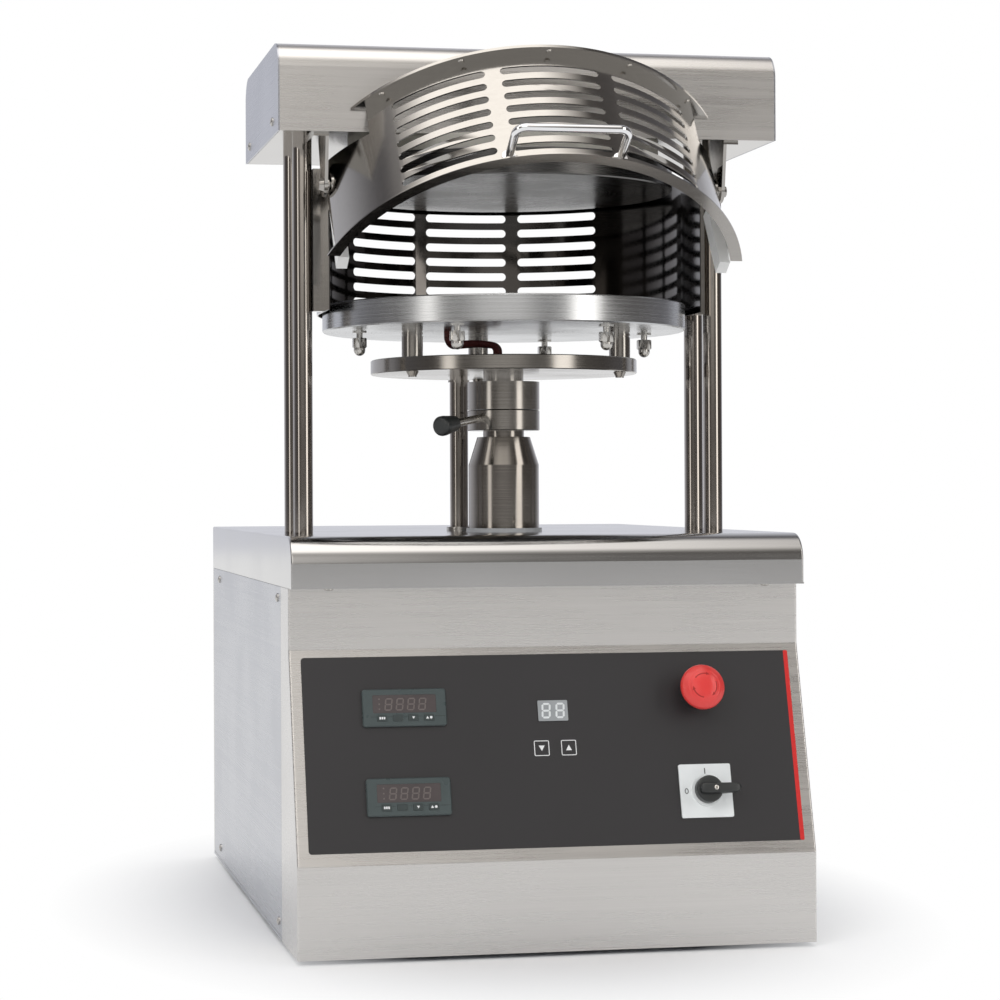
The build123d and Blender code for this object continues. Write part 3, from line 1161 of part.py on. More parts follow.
# Guard struts under the head, each with its pivot pin, spacer and cap
strut_in = EAR_X + STRUT_GAP
strut_out = strut_in + STRUT_THICKNESS
head_drop = HEAD_BOTTOM_Z - PIVOT_Z
PIN_HEAD_R = 6.5
PIN_HEAD_HEIGHT = 4.0
SPACER_R = 7.0
pin_inner = EAR_X - GUARD_SHEET - PIVOT_BOSS_HEIGHT - SEAT_GAP
strut_front = HEAD_FRONT + 9 - PIVOT_Y
STRUT_TOP_WIDTH = 47.0
STRUT_FOOT = 14.0
pivot_frame = Plane(origin=(0, PIVOT_Y, PIVOT_Z))
for strut_name, side in (("guard_strut_left", -1), ("guard_strut_right", 1)):
    with BuildPart() as strut:
        with BuildSketch(on_side(pivot_frame, side * strut_in)):
            with BuildLine():
                Line((strut_front, head_drop), (-PIVOT_BOSS_R, 0))
                ThreePointArc((-PIVOT_BOSS_R, 0), (0, -PIVOT_BOSS_R), (PIVOT_BOSS_R, 0))
                Line((PIVOT_BOSS_R, 0), (strut_front + STRUT_TOP_WIDTH, head_drop))
                Line((strut_front + STRUT_TOP_WIDTH, head_drop), (strut_front, head_drop))
            make_face()
        extrude(amount=side * STRUT_THICKNESS)
        with BuildSketch(Plane.XY.offset(HEAD_BOTTOM_Z)):
            with Locations((side * (strut_in + STRUT_FOOT / 2), PIVOT_Y + strut_front + STRUT_TOP_WIDTH / 2)):
                Rectangle(STRUT_FOOT, STRUT_TOP_WIDTH)
        extrude(amount=-STRUT_THICKNESS)
        with BuildSketch(on_side(pivot_frame, side * strut_in)):
            Circle(SPACER_R)
        extrude(amount=-side * (STRUT_GAP - SEAT_GAP))
        with BuildSketch(on_side(pivot_frame, side * strut_out)):
            Circle(PIN_HEAD_R)
        extrude(amount=side * PIN_HEAD_HEIGHT, taper=20)
        with BuildSketch(on_side(pivot_frame, side * pin_inner)):
            Circle(PIVOT_PIN_R)
        extrude(amount=side * (strut_out - pin_inner))
        with BuildSketch(on_side(pivot_frame, side * pin_inner)):
            Circle(PIN_HEAD_R)
        extrude(amount=-side * PIN_HEAD_HEIGHT)
    save(strut, strut_name)
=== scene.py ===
"""The looks of a heated pizza dough press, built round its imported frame.

Metres, +X to the right, +Y to the back, +Z up. The origin is the centre of the base's underside.
New pieces are surfaces worked out as whole arrays: a profile turned about an axis, a section
carried along a path, or an outline raised into a thin plate.
"""

from __future__ import annotations

import logging
import math
from collections.abc import Sequence
from dataclasses import dataclass, field
from enum import Enum

import bpy
import numpy as np
from mathutils import Matrix


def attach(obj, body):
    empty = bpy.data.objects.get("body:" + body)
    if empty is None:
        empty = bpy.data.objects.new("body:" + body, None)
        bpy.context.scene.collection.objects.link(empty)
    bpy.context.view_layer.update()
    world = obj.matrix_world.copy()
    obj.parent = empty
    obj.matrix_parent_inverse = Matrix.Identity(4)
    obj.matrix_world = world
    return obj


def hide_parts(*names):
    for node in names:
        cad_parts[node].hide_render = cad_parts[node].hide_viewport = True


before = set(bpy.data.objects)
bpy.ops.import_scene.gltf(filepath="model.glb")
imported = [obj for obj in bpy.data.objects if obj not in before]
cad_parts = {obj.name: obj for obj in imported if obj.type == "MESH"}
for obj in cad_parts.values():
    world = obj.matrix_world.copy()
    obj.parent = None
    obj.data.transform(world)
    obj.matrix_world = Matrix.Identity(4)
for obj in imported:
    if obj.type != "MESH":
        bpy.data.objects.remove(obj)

LOG = logging.getLogger("dough_press")
FULL_TURN = 2.0 * math.pi
QUARTER_TURN = 0.5 * math.pi

Point = tuple[float, float, float]
Colour = tuple[float, float, float]
Hill = tuple[float, float, float]  # centre, half size and soft edge of a patch of light
Face = tuple[int, ...]  # a face's points, by index
Surface = tuple[np.ndarray, list[Face]]  # points, one a row, and faces
Socket = bpy.types.NodeSocket


def unit(vector: Sequence[float]) -> np.ndarray:
    """Gives a vector the length 1.

    Args:
        vector: Any vector that isn't zero.

    Returns:
        The vector divided by its length.
    """
    array = np.asarray(vector, float)
    return array / np.linalg.norm(array)


@dataclass(frozen=True)
class Place:
    """A right-handed frame on the machine, in which a piece is drawn before it is put in place."""

    origin: Point
    across: Point = (1.0, 0.0, 0.0)
    out: Point = (0.0, 0.0, 1.0)

    def put(self, points: np.ndarray) -> np.ndarray:
        """Carries local points into the machine's frame: origin + x across + y up + z out.

        Args:
            points: Local points, one a row.

        Returns:
            The same points in the machine's frame.
        """
        across, out = unit(self.across), unit(self.out)
        axes = np.stack([across, np.cross(out, across), out])
        return np.asarray(self.origin) + points @ axes

    def shifted(self, x: float, y: float, z: float = 0.0) -> Place:
        """The same frame with its origin moved by local x, y and z."""
        return Place(tuple(self.put(np.array([[x, y, z]]))[0]), self.across, self.out)


# Places and sizes that several sub-assemblies share
SLOPE_SETBACK = 0.051
SLOPE_LOW, SLOPE_HIGH = 0.081, 0.265
FRONT_Y = -0.335
SHEET_HALF_WIDTH = 0.235
PANEL = Place((0.0, FRONT_Y, SLOPE_LOW), out=(0.0, SLOPE_LOW - SLOPE_HIGH, SLOPE_SETBACK))
GUARD_LIFT = math.radians(34.0)
GUARD_HINGE: Point = (0.0, -0.2035, 0.687)
GUARD = Place(GUARD_HINGE, out=(0.0, math.sin(GUARD_LIFT), math.cos(GUARD_LIFT)))
PLATEN_AXIS: Point = (0.0, -0.108, 0.0)
FILM_TOP = 0.0005
PRINT = 0.00008
SCREW_HEAD = (0.0040, 0.0022)


def on_side(side: float, y: float, z: float) -> Place:
    """A place on the outer face of the left (-1) or right (1) sheet, looking away from it."""
    return Place((side * SHEET_HALF_WIDTH, y, z), (0.0, side, 0.0), (side, 0.0, 0.0))


# Finishes


class Grain(Enum):
    """The direction in which a sheet was brushed."""

    ACROSS = (1.0, 0.0, 0.0)
    DEEP = (0.0, 1.0, 0.0)


class Graph:
    """A node tree with the few kinds of node that the finishes and the world share."""

    def __init__(self, tree: bpy.types.NodeTree) -> None:
        """Keeps the tree.

        Args:
            tree: The node tree that the nodes are added to.
        """
        self.tree = tree

    def add(self, kind: str) -> bpy.types.Node:
        """Adds a node of a kind."""
        return self.tree.nodes.new(kind)

    def link(self, source: Socket, target: Socket) -> None:
        """Links an output to an input."""
        self.tree.links.new(source, target)

    def math(
        self, operation: str, first: Socket, second: Socket | float = 0.0
    ) -> Socket:
        """One arithmetic step on a value.

        Args:
            operation: The Math node's operation.
            first: The value it works on.
            second: The other value, or a number.

        Returns:
            The result.
        """
        node = self.add("ShaderNodeMath")
        node.operation = operation
        self.link(first, node.inputs[0])
        if isinstance(second, Socket):
            self.link(second, node.inputs[1])
        else:
            node.inputs[1].default_value = second
        return node.outputs[0]

    def spread(
        self, value: Socket, low: float, high: float, start: float = 0.3, end: float = 0.7
    ) -> Socket:
        """Maps a value from start..end to low..high and clamps it.

        Args:
            value: The value that is mapped.
            low: The result at start.
            high: The result at end.
            start: The lower end of the value's range.
            end: The upper end of the value's range.

        Returns:
            The mapped value.
        """
        node = self.add("ShaderNodeMapRange")
        ends = {"From Min": start, "From Max": end, "To Min": low, "To Max": high}
        for key, number in ends.items():
            node.inputs[key].default_value = number
        self.link(value, node.inputs["Value"])
        return node.outputs["Result"]

    def hill(
        self, value: Socket, centre: float, half: float, edge: float
    ) -> Socket:
        """1 near a centre and 0 away from it.

        Args:
            value: The value that is looked at.
            centre: The middle of the hill.
            half: How far from the centre it stays 1.
            edge: The width over which it falls to 0.

        Returns:
            A value from 0 to 1.
        """
        distance = self.math("ABSOLUTE", self.math("SUBTRACT", value, centre))
        return self.spread(distance, 1.0, 0.0, half, half + edge)

    def split(self, vector: Socket) -> tuple[Socket, ...]:
        """The X, Y and Z of a vector.

        Args:
            vector: The vector.

        Returns:
            Its three parts.
        """
        node = self.add("ShaderNodeSeparateXYZ")
        self.link(vector, node.inputs[0])
        return tuple(node.outputs)

    def times(self, first: Socket, second: Socket | float) -> Socket:
        """The product of two values."""
        return self.math("MULTIPLY", first, second)

    def plus(self, first: Socket, second: Socket | float) -> Socket:
        """The sum of two values."""
        return self.math("ADD", first, second)

    def reach(self, across: Socket, deep: Socket) -> Socket:
        """The distance from the origin, as the root of across squared plus deep squared."""
        squares = (self.math("POWER", side, 2.0) for side in (across, deep))
        return self.math("SQRT", self.plus(*squares))

    def blend(self, factor: Socket, first: Socket, second: Socket) -> Socket:
        """Mixes two surfaces or backgrounds.

        Args:
            factor: 0 gives the first and 1 the second.
            first: The first one's output.
            second: The second one's output.

        Returns:
            The mixed output.
        """
        node = self.add("ShaderNodeMixShader")
        for source, target in zip((factor, first, second), node.inputs):
            self.link(source, target)
        return node.outputs[0]


class Shader(Graph):
    """A material's node tree round one Principled BSDF."""

    def __init__(self, name: str) -> None:
        """Makes the material and its tree.

        Args:
            name: The material's name.
        """
        self.material = bpy.data.materials.new(name)
        self.material.use_nodes = True
        super().__init__(self.material.node_tree)
        self.surface = self.tree.nodes["Principled BSDF"]

    def fix(self, **values: float | Colour) -> None:
        """Sets plain values on the shader's own sockets.

        Args:
            values: Socket names with underscores for spaces, and their values.
        """
        for key, value in values.items():
            socket = self.surface.inputs[key.replace("_", " ")]
            socket.default_value = (*value, 1.0) if isinstance(value, tuple) else value

    def drive(self, socket: str, source: Socket) -> None:
        """Links a node's output to one of the shader's sockets."""
        self.link(source, self.surface.inputs[socket])

    def position(
        self, scale: Sequence[float] = (1.0, 1.0, 1.0), centre: Sequence[float] = (0.0, 0.0, 0.0)
    ) -> Socket:
        """Object coordinates, first centred and then scaled.

        Args:
            scale: Factors along X, Y and Z.
            centre: The point that becomes the origin of the pattern.

        Returns:
            The mapped vector.
        """
        source = self.add("ShaderNodeTexCoord")
        mapping = self.add("ShaderNodeMapping")
        mapping.inputs["Scale"].default_value = tuple(scale)
        mapping.inputs["Location"].default_value = tuple(-s * c for s, c in zip(scale, centre))
        self.link(source.outputs["Object"], mapping.inputs["Vector"])
        return mapping.outputs["Vector"]

    def noise(self, vector: Socket, scale: float, detail: float = 2.0) -> Socket:
        """A noise value from 0 to 1 at a vector.

        Args:
            vector: Where the noise is read.
            scale: Cells per unit of the vector.
            detail: Octaves.

        Returns:
            The noise's value.
        """
        node = self.add("ShaderNodeTexNoise")
        node.inputs["Scale"].default_value = scale
        node.inputs["Detail"].default_value = detail
        self.link(vector, node.inputs["Vector"])
        return node.outputs["Fac"]

    def tint(self, factor: Socket, first: Colour, second: Colour) -> Socket:
        """A colour between two, by a factor.

        Args:
            factor: 0 gives the first colour and 1 the second.
            first: The first colour.
            second: The second colour.

        Returns:
            The blended colour.
        """
        node = self.add("ShaderNodeMix")
        node.data_type = "RGBA"
        node.inputs[6].default_value = (*first, 1.0)
        node.inputs[7].default_value = (*second, 1.0)
        self.link(factor, node.inputs[0])
        return node.outputs[2]

    def emboss(self, height: Socket, depth: float, strength: float = 1.0) -> None:
        """Feeds a height into the shader's normal.

        Args:
            height: The height, from 0 to 1.
            depth: What a height of 1 stands for, in metres.
            strength: How much of the bump is used.
        """
        node = self.add("ShaderNodeBump")
        node.inputs["Strength"].default_value = strength
        node.inputs["Distance"].default_value = depth
        self.link(height, node.inputs["Height"])
        self.drive("Normal", node.outputs["Normal"])


def shade(colour: Colour, factor: float) -> Colour:
    """A colour made lighter or darker by a factor."""
    return tuple(min(1.0, part * factor) for part in colour)


@dataclass(frozen=True)
class Finish:
    """What every finish has: a name, the record's material slot, a colour and a roughness."""

    name: str
    slot: str
    colour: Colour
    roughness: float

    def material(self) -> bpy.types.Material:
        """Makes the finish's material once, and then shares it.

        Returns:
            The material.
        """
        if self not in MATERIALS:
            shader = Shader(self.name)
            shader.fix(Base_Color=self.colour, Roughness=self.roughness)
            self.detail(shader)
            MATERIALS[self] = shader.material
        return MATERIALS[self]

    def detail(self, shader: Shader) -> None:
        """Adds the finish's own nodes. A subclass overrides it."""

    def mottle(self, shader: Shader, factor: Socket, low: float, high: float) -> None:
        """Lets a factor drive the colour.

        Args:
            shader: The finish's shader.
            factor: 0 gives the low shade and 1 the high one.
            low: Brightness of the low shade, as a share of the finish's colour.
            high: Brightness of the high shade.
        """
        shades = (shade(self.colour, low), shade(self.colour, high))
        shader.drive("Base Color", shader.tint(factor, *shades))

    def polish(self, shader: Shader, factor: Socket, less: float, more: float) -> None:
        """Lets a factor drive the roughness.

        Args:
            shader: The finish's shader.
            factor: 0 gives the smoothest and 1 the roughest.
            less: How far the smoothest lies under the finish's roughness.
            more: How far the roughest lies over it.
        """
        rough = shader.spread(factor, self.roughness - less, self.roughness + more)
        shader.drive("Roughness", rough)


MATERIALS: dict[Finish, bpy.types.Material] = {}


@dataclass(frozen=True)
class BrushedSheet(Finish):
    """Stainless sheet with long fine scratches along its grain and faint cloudy bands."""

    grain: Grain = Grain.ACROSS
    scratch: float = 1.0

    def detail(self, shader: Shader) -> None:
        """Fine and broad streaks drive the colour, the roughness and a very shallow bump.

        Args:
            shader: The finish's shader.
        """
        along = np.array(self.grain.value)
        fine = shader.noise(shader.position(along * 14.0 + (1.0 - along) * 1500.0), 1.0, 3.0)
        broad = shader.noise(shader.position(along * 2.0 + (1.0 - along) * 240.0), 1.0, 3.0)
        cloud = shader.noise(shader.position(), 9.0, 2.0)
        streaks = shader.plus(shader.times(fine, 0.55), shader.times(broad, 0.45))
        self.paint(shader, streaks)
        rough = shader.plus(shader.spread(streaks, -0.03, 0.035), shader.spread(cloud, -0.02, 0.02))
        shader.drive("Roughness", shader.plus(rough, self.roughness))
        shader.fix(Metallic=1.0)
        shader.emboss(fine, 0.000012 * self.scratch)

    def paint(self, shader: Shader, streaks: Socket) -> None:
        """The streaks change the colour a little."""
        self.mottle(shader, shader.spread(streaks, 0.0, 1.0, 0.36, 0.64), 0.965, 1.025)


@dataclass(frozen=True)
class BaySheet(BrushedSheet):
    """Polished sheet bent round the platens: bright outside, and painted dark inside as painted
    shade and reflection.
    """

    # Colour of the inside: painted shade and reflection, far darker than the sheet itself.
    painted_shade_inside: Colour = (0.09, 0.084, 0.079)
    middle: float = 0.1798
    edge: float = 0.0002

    def paint(self, shader: Shader, streaks: Socket) -> None:
        """Tells the two sides apart by their distance from the middle, and paints the inside dark
        as painted shade and reflection.

        The distance is taken from the bend's axis, and in front of it from the middle plane.

        Args:
            shader: The finish's shader.
            streaks: The sheet's streaks, which don't show on it.
        """
        across, deep, _ = shader.split(shader.position(centre=PLATEN_AXIS))
        reach = shader.reach(across, shader.math("MAXIMUM", deep, 0.0))
        outside = shader.spread(reach, 0.0, 1.0, self.middle - self.edge, self.middle + self.edge)
        # The inside gets the painted dark colour, and the outside the sheet's own colour.
        shader.drive("Base Color", shader.tint(outside, self.painted_shade_inside, self.colour))


@dataclass(frozen=True)
class TurnedMetal(Finish):
    """Metal turned on a lathe, with fine rings about the platens' axis on its faces and side."""

    rings: float = 900.0

    def detail(self, shader: Shader) -> None:
        """Noise read at (distance from the axis + height) rings the faces and the side.

        Args:
            shader: The finish's shader.
        """
        across, deep, high = shader.split(shader.position(centre=PLATEN_AXIS))
        join = shader.add("ShaderNodeCombineXYZ")
        reach = shader.plus(shader.reach(across, deep), shader.times(high, 1.3))
        shader.link(reach, join.inputs[0])
        fine = shader.noise(join.outputs[0], self.rings, 3.0)
        cloud = shader.noise(shader.position(), 14.0, 3.0)
        self.mottle(shader, shader.spread(fine, 0.0, 1.0, 0.35, 0.65), 0.92, 1.06)
        rough = shader.plus(shader.spread(fine, -0.05, 0.06), shader.spread(cloud, -0.04, 0.04))
        shader.drive("Roughness", shader.plus(rough, self.roughness))
        shader.fix(Metallic=1.0)
        shader.emboss(fine, 0.00001)


@dataclass(frozen=True)
class GroundRod(Finish):
    """Ground and polished rod with faint smudges."""

    def detail(self, shader: Shader) -> None:
        """Cloudy noise changes the roughness a little.

        Args:
            shader: The finish's shader.
        """
        cloud = shader.noise(shader.position(scale=(1.0, 1.0, 0.35)), 40.0, 3.0)
        shader.drive("Roughness", shader.spread(cloud, self.roughness * 0.7, self.roughness * 1.5))
        self.mottle(shader, cloud, 0.96, 1.03)
        shader.fix(Metallic=1.0)


@dataclass(frozen=True)
class Plate(Finish):
    """Zinc plated or plain machined steel of small parts."""

    def detail(self, shader: Shader) -> None:
        """Cloudy noise changes the colour and the roughness.

        Args:
            shader: The finish's shader.
        """
        cloud = shader.noise(shader.position(), 220.0, 3.0)
        self.mottle(shader, cloud, 0.9, 1.06)
        self.polish(shader, cloud, 0.05, 0.08)
        shader.fix(Metallic=1.0)


@dataclass(frozen=True)
class Moulded(Finish):
    """Moulded plastic or rubber with a fine spark-eroded grain."""

    texture: float = 1.0
    gloss: float = 0.0

    def detail(self, shader: Shader) -> None:
        """Two sizes of noise give the grain and slight patches of sheen.

        Args:
            shader: The finish's shader.
        """
        grain = shader.noise(shader.position(), 1400.0, 2.0)
        patch = shader.noise(shader.position(), 45.0, 3.0)
        self.mottle(shader, patch, 0.92, 1.08)
        self.polish(shader, patch, 0.04, 0.05)
        shader.fix(Coat_Weight=self.gloss, Coat_Roughness=0.15)
        shader.emboss(grain, 0.00002 * self.texture)


@dataclass(frozen=True)
class PrintedFilm(Finish):
    """Polyester film with a finely textured, almost black print."""

    def detail(self, shader: Shader) -> None:
        """A tight grain breaks the sheen, and broad noise gives the film its faint waves.

        Args:
            shader: The finish's shader.
        """
        grain = shader.noise(shader.position(), 2600.0, 2.0)
        wave = shader.noise(shader.position(), 7.0, 1.0)
        self.mottle(shader, wave, 0.85, 1.15)
        self.polish(shader, grain, 0.05, 0.05)
        shader.emboss(grain, 0.000012)


@dataclass(frozen=True)
class DisplayGlass(Finish):
    """Smoked window of a display, glossy, with a faint warm tone."""

    def detail(self, shader: Shader) -> None:
        """A slow change of tone across the window under a clear coat.

        Args:
            shader: The finish's shader.
        """
        wave = shader.noise(shader.position(), 30.0, 1.0)
        self.mottle(shader, wave, 0.8, 1.25)
        shader.fix(Coat_Weight=0.6, Coat_Roughness=0.03)


@dataclass(frozen=True)
class MineralBoard(Finish):
    """Pressed insulating board with a mottled, fibrous surface."""

    def detail(self, shader: Shader) -> None:
        """Flat fibres from stretched noise over coarser mottling.

        Args:
            shader: The finish's shader.
        """
        fibre = shader.noise(shader.position(scale=(300.0, 300.0, 1200.0)), 1.0, 4.0)
        mottle = shader.noise(shader.position(), 70.0, 3.0)
        self.mottle(shader, mottle, 0.8, 1.08)
        shader.emboss(fibre, 0.0002)


@dataclass(frozen=True)
class PrimedSteel(Finish):
    """Grey primer with a faint orange-peel skin."""

    def detail(self, shader: Shader) -> None:
        """Rounded noise gives the skin its peel.

        Args:
            shader: The finish's shader.
        """
        peel = shader.noise(shader.position(), 260.0, 1.0)
        self.mottle(shader, peel, 0.93, 1.05)
        shader.emboss(peel, 0.00006)


@dataclass(frozen=True)
class BraidedSleeve(Finish):
    """Braided sleeve with fine crossing yarns."""

    def detail(self, shader: Shader) -> None:
        """The larger of two slanting waves gives the crossing yarns, and the colour falls to under
        half between them as painted shade in the gaps.

        Args:
            shader: The finish's shader.
        """
        waves = []
        for slant in (1.0, -1.0):
            wave = shader.add("ShaderNodeTexWave")
            wave.inputs["Scale"].default_value = 1.0
            shader.link(shader.position(scale=(160.0, 160.0, slant * 190.0)), wave.inputs["Vector"])
            wave.bands_direction = "DIAGONAL"
            waves.append(wave.outputs["Fac"])
        yarn = shader.math("MAXIMUM", waves[0], waves[1])
        # The yarn pattern, with painted shade darkening the gaps between the yarns.
        self.mottle(shader, yarn, 0.45, 1.25)
        shader.emboss(yarn, 0.0003)


SHEET = "stainless_brushed"
# The five sheets below are one stainless. Their different colours, and the blue of the side sheet,
# are painted light and shade: lit and shaded copies of it.
FRONT_SHEET = BrushedSheet("brushed front", SHEET, (0.60, 0.585, 0.57), 0.28)
COVER_SHEET = BrushedSheet("brushed cover", SHEET, (0.45, 0.445, 0.44), 0.14, scratch=0.4)
SIDE_SHEET = BrushedSheet("brushed side", SHEET, (0.41, 0.42, 0.455), 0.27, Grain.DEEP)
GUARD_SHEET = BrushedSheet("satin guard", SHEET, (0.38, 0.365, 0.345), 0.13, scratch=0.4)
BAY_SHEET = BaySheet("bay with painted shade inside", SHEET, (0.36, 0.35, 0.335), 0.07, scratch=0.3)
# ROD, TURNED and TURNED_RAM are darker and warmer than bare steel: painted dark, warm reflection.
ROD = GroundRod("ground rod", "polished_steel", (0.34, 0.315, 0.29), 0.09)
CHROME = GroundRod("chromed wire", "polished_steel", (0.78, 0.78, 0.79), 0.05)
TURNED = TurnedMetal("turned steel", "turned_steel", (0.30, 0.285, 0.265), 0.17)
TURNED_RAM = TurnedMetal("turned ram", "polished_steel", (0.25, 0.232, 0.212), 0.13)
PLATEN = TurnedMetal("turned aluminium", "platen_aluminium", (0.52, 0.53, 0.54), 0.24, 700.0)
# The upper platen's dark colour is painted shade and dark reflection under the head, a darker copy
# of the platen aluminium.
SHADED_PLATEN = TurnedMetal("aluminium with painted shade", "platen_aluminium", (0.14, 0.138, 0.136), 0.27, 700.0)
SMALL_STEEL = Plate("plated steel", "screw_steel", (0.52, 0.505, 0.48), 0.22)
PRIMER = PrimedSteel("primed steel", "mild_steel", (0.40, 0.41, 0.42), 0.45)
BOARD = MineralBoard("insulating board", "insulation_board", (0.70, 0.67, 0.60), 0.85)
BLACK = Moulded("black plastic", "black_plastic", (0.018, 0.020, 0.020), 0.38)
BEZEL = Moulded("bezel plastic", "black_plastic", (0.055, 0.072, 0.072), 0.30)
KEY = Moulded("key plastic", "key_plastic", (0.028, 0.038, 0.038), 0.45)
RUBBER = Moulded("foot rubber", "foot_rubber", (0.020, 0.020, 0.020), 0.7, 2.0)
RED = Moulded("red plastic", "red_plastic", (0.74, 0.045, 0.040), 0.34, 0.4, 0.2)
RED_MARK = Moulded("red marking", "red_plastic", (0.36, 0.012, 0.010), 0.45, 0.4)
STEM = Moulded("stem plastic", "stem_plastic", (0.16, 0.16, 0.16), 0.4, 0.5)
WHITE = Moulded("white plastic", "white_plastic", (0.80, 0.80, 0.78), 0.45, 0.5)
SILVER = Moulded("silver plate", "white_plastic", (0.82, 0.84, 0.83), 0.40, 0.5)
FILM_PRINT = PrintedFilm("charcoal film", "film_dark", (0.0165, 0.0155, 0.0170), 0.42)
FILM_RED = PrintedFilm("red print", "film_dark", (0.60, 0.020, 0.018), 0.42)
INK = Moulded("white ink", "film_dark", (0.80, 0.80, 0.79), 0.5, 0.3)
DARK_INK = Moulded("dark ink", "white_plastic", (0.10, 0.10, 0.10), 0.5, 0.3)
SMOKED = DisplayGlass("smoked window", "black_plastic", (0.060, 0.047, 0.047), 0.12)
SEGMENT = Moulded("unlit segment", "black_plastic", (0.135, 0.113, 0.106), 0.35, 0.2)
GREY_WINDOW = DisplayGlass("grey window", "black_plastic", (0.34, 0.355, 0.36), 0.18)
PALE_SEGMENT = Moulded("pale segment", "black_plastic", (0.72, 0.74, 0.74), 0.35, 0.2)
SLEEVE = BraidedSleeve("braided sleeve", "lead_sleeve", (0.15, 0.030, 0.026), 0.6)


# Shapes


def shown_object(name: str, data: bpy.types.ID) -> bpy.types.Object:
    """Makes an object round its data and puts it into the scene.

    Args:
        name: The object's name.
        data: Its mesh, camera or lamp.

    Returns:
        The object.
    """
    made = bpy.data.objects.new(name, data)
    bpy.context.scene.collection.objects.link(made)
    return made


def stood(right: np.ndarray, up: np.ndarray, back: np.ndarray, at: Point) -> Matrix:
    """The matrix of a camera or lamp, from its three axes and its place."""
    return Matrix([*np.column_stack([right, up, back, at]).tolist(), (0.0, 0.0, 0.0, 1.0)])


def around(steps: int) -> np.ndarray:
    """Angles once round, evenly spaced."""
    return np.linspace(0.0, FULL_TURN, steps, endpoint=False)


@dataclass
class Shape:
    """Points and faces gathered before they become one mesh."""

    points: list[np.ndarray] = field(default_factory=list)
    faces: list[Face] = field(default_factory=list)
    count: int = 0

    def put(self, surface: Surface, place: Place) -> Shape:
        """Adds one closed surface.

        Args:
            surface: Its local points, and its faces by index into them.
            place: The frame that it is drawn in.

        Returns:
            The shape itself.
        """
        points, faces = surface
        self.points.append(place.put(points))
        self.faces.extend(tuple(int(i) + self.count for i in face) for face in faces)
        self.count += len(points)
        return self

    def piece(
        self,
        name: str,
        finish: Finish,
        body: str,
        replaces: Sequence[str] = (),
        sharp: float = 35.0,
    ) -> bpy.types.Object:
        """Makes the Blender object, dressed and riding on its body.

        Args:
            name: The object's name.
            finish: Its finish.
            body: The body that it rides on.
            replaces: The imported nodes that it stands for.
            sharp: Edges that turn by more degrees than this stay sharp.

        Returns:
            The object.
        """
        mesh = bpy.data.meshes.new(name)
        mesh.from_pydata(np.concatenate(self.points).tolist(), [], self.faces)
        mesh.polygons.foreach_set("use_smooth", np.ones(len(mesh.polygons), bool))
        mesh.set_sharp_from_angle(angle=math.radians(sharp))
        mesh.update()
        made = shown_object(name, mesh)
        mesh.materials.append(finish.material())
        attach(made, body)
        if replaces:
            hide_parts(*replaces)
        LOG.info("made %s: %d faces on %s", name, len(self.faces), body)
        return made


def quads(rows: int, columns: int, closed: bool = False) -> np.ndarray:
    """The faces of a grid of points.

    Args:
        rows: How many rows of points there are.
        columns: How many points are in a row.
        closed: Whether the last column joins the first.

    Returns:
        Four indices a face, counted row by row.
    """
    row = np.arange(rows - 1)[:, None] * columns
    column = np.arange(columns if closed else columns - 1)[None, :]
    after = (column + 1) % columns
    corners = (row + column, row + after, row + columns + after, row + columns + column)
    return np.stack(np.broadcast_arrays(*corners), axis=-1).reshape(-1, 4)


def turned(profile: np.ndarray, steps: int, sides: int = 0, flats: float = 0.0) -> Surface:
    """A closed solid of revolution about local z, from a bottom pole to a top pole.

    A point is (r cos t, r sin t, z), with (r, z) from the profile. Where sides is given, r is cut
    back to a polygon of that many flats: the lesser of r and flats / cos(a), with a the angle from
    the middle of the nearest flat.

    Args:
        profile: Radius and height of each ring, from the bottom up, with radius 0 at both ends.
        steps: Points round the axis.
        sides: Flats of a nut, or 0.
        flats: Distance of a flat from the axis.

    Returns:
        The points and the faces.
    """
    angle = around(steps)
    radius = np.repeat(profile[1:-1, :1], steps, axis=1)
    if sides:
        turn = math.pi / sides
        radius = np.minimum(radius, flats / np.cos((angle + turn) % (2.0 * turn) - turn)[None, :])
    height = np.repeat(profile[1:-1, 1:], steps, axis=1)
    rings = np.stack([radius * np.cos(angle), radius * np.sin(angle), height], axis=-1)
    poles = [[0.0, 0.0, profile[0, 1]], [0.0, 0.0, profile[-1, 1]]]
    points = np.concatenate([rings.reshape(-1, 3), poles])
    count = len(profile) - 2
    here = np.arange(steps)
    after = (here + 1) % steps
    low, high = count * steps, count * steps + 1
    last = (count - 1) * steps
    bottom = np.stack([np.full(steps, low), after, here], axis=-1)
    top = np.stack([np.full(steps, high), last + here, last + after], axis=-1)
    return points, [*quads(count, steps, True).tolist(), *bottom.tolist(), *top.tolist()]


def end_caps(rows: int, steps: int) -> list[Face]:
    """The two faces that close a grid of rows, each row a loop of steps points."""
    last = (rows - 1) * steps
    return [tuple(range(steps - 1, -1, -1)), tuple(range(last, last + steps))]


def carried(
    path: np.ndarray, tangent: np.ndarray, normal: np.ndarray, radius: np.ndarray, steps: int = 20
) -> Surface:
    """A round section carried along a flat path, with closed ends.

    A point is path + r (cos t normal + sin t (tangent x normal)).

    Args:
        path: The path's points.
        tangent: Its unit tangent at each point.
        normal: The unit normal of the plane that the path lies in.
        radius: The section's radius at each point.
        steps: Points round the section.

    Returns:
        The points and the faces.
    """
    angle = around(steps)
    side = np.cross(tangent, normal)
    ring = np.cos(angle)[None, :, None] * normal + np.sin(angle)[None, :, None] * side[:, None, :]
    points = (path[:, None, :] + radius[:, None, None] * ring).reshape(-1, 3)
    return points, [*quads(len(path), steps, True).tolist(), *end_caps(len(path), steps)]


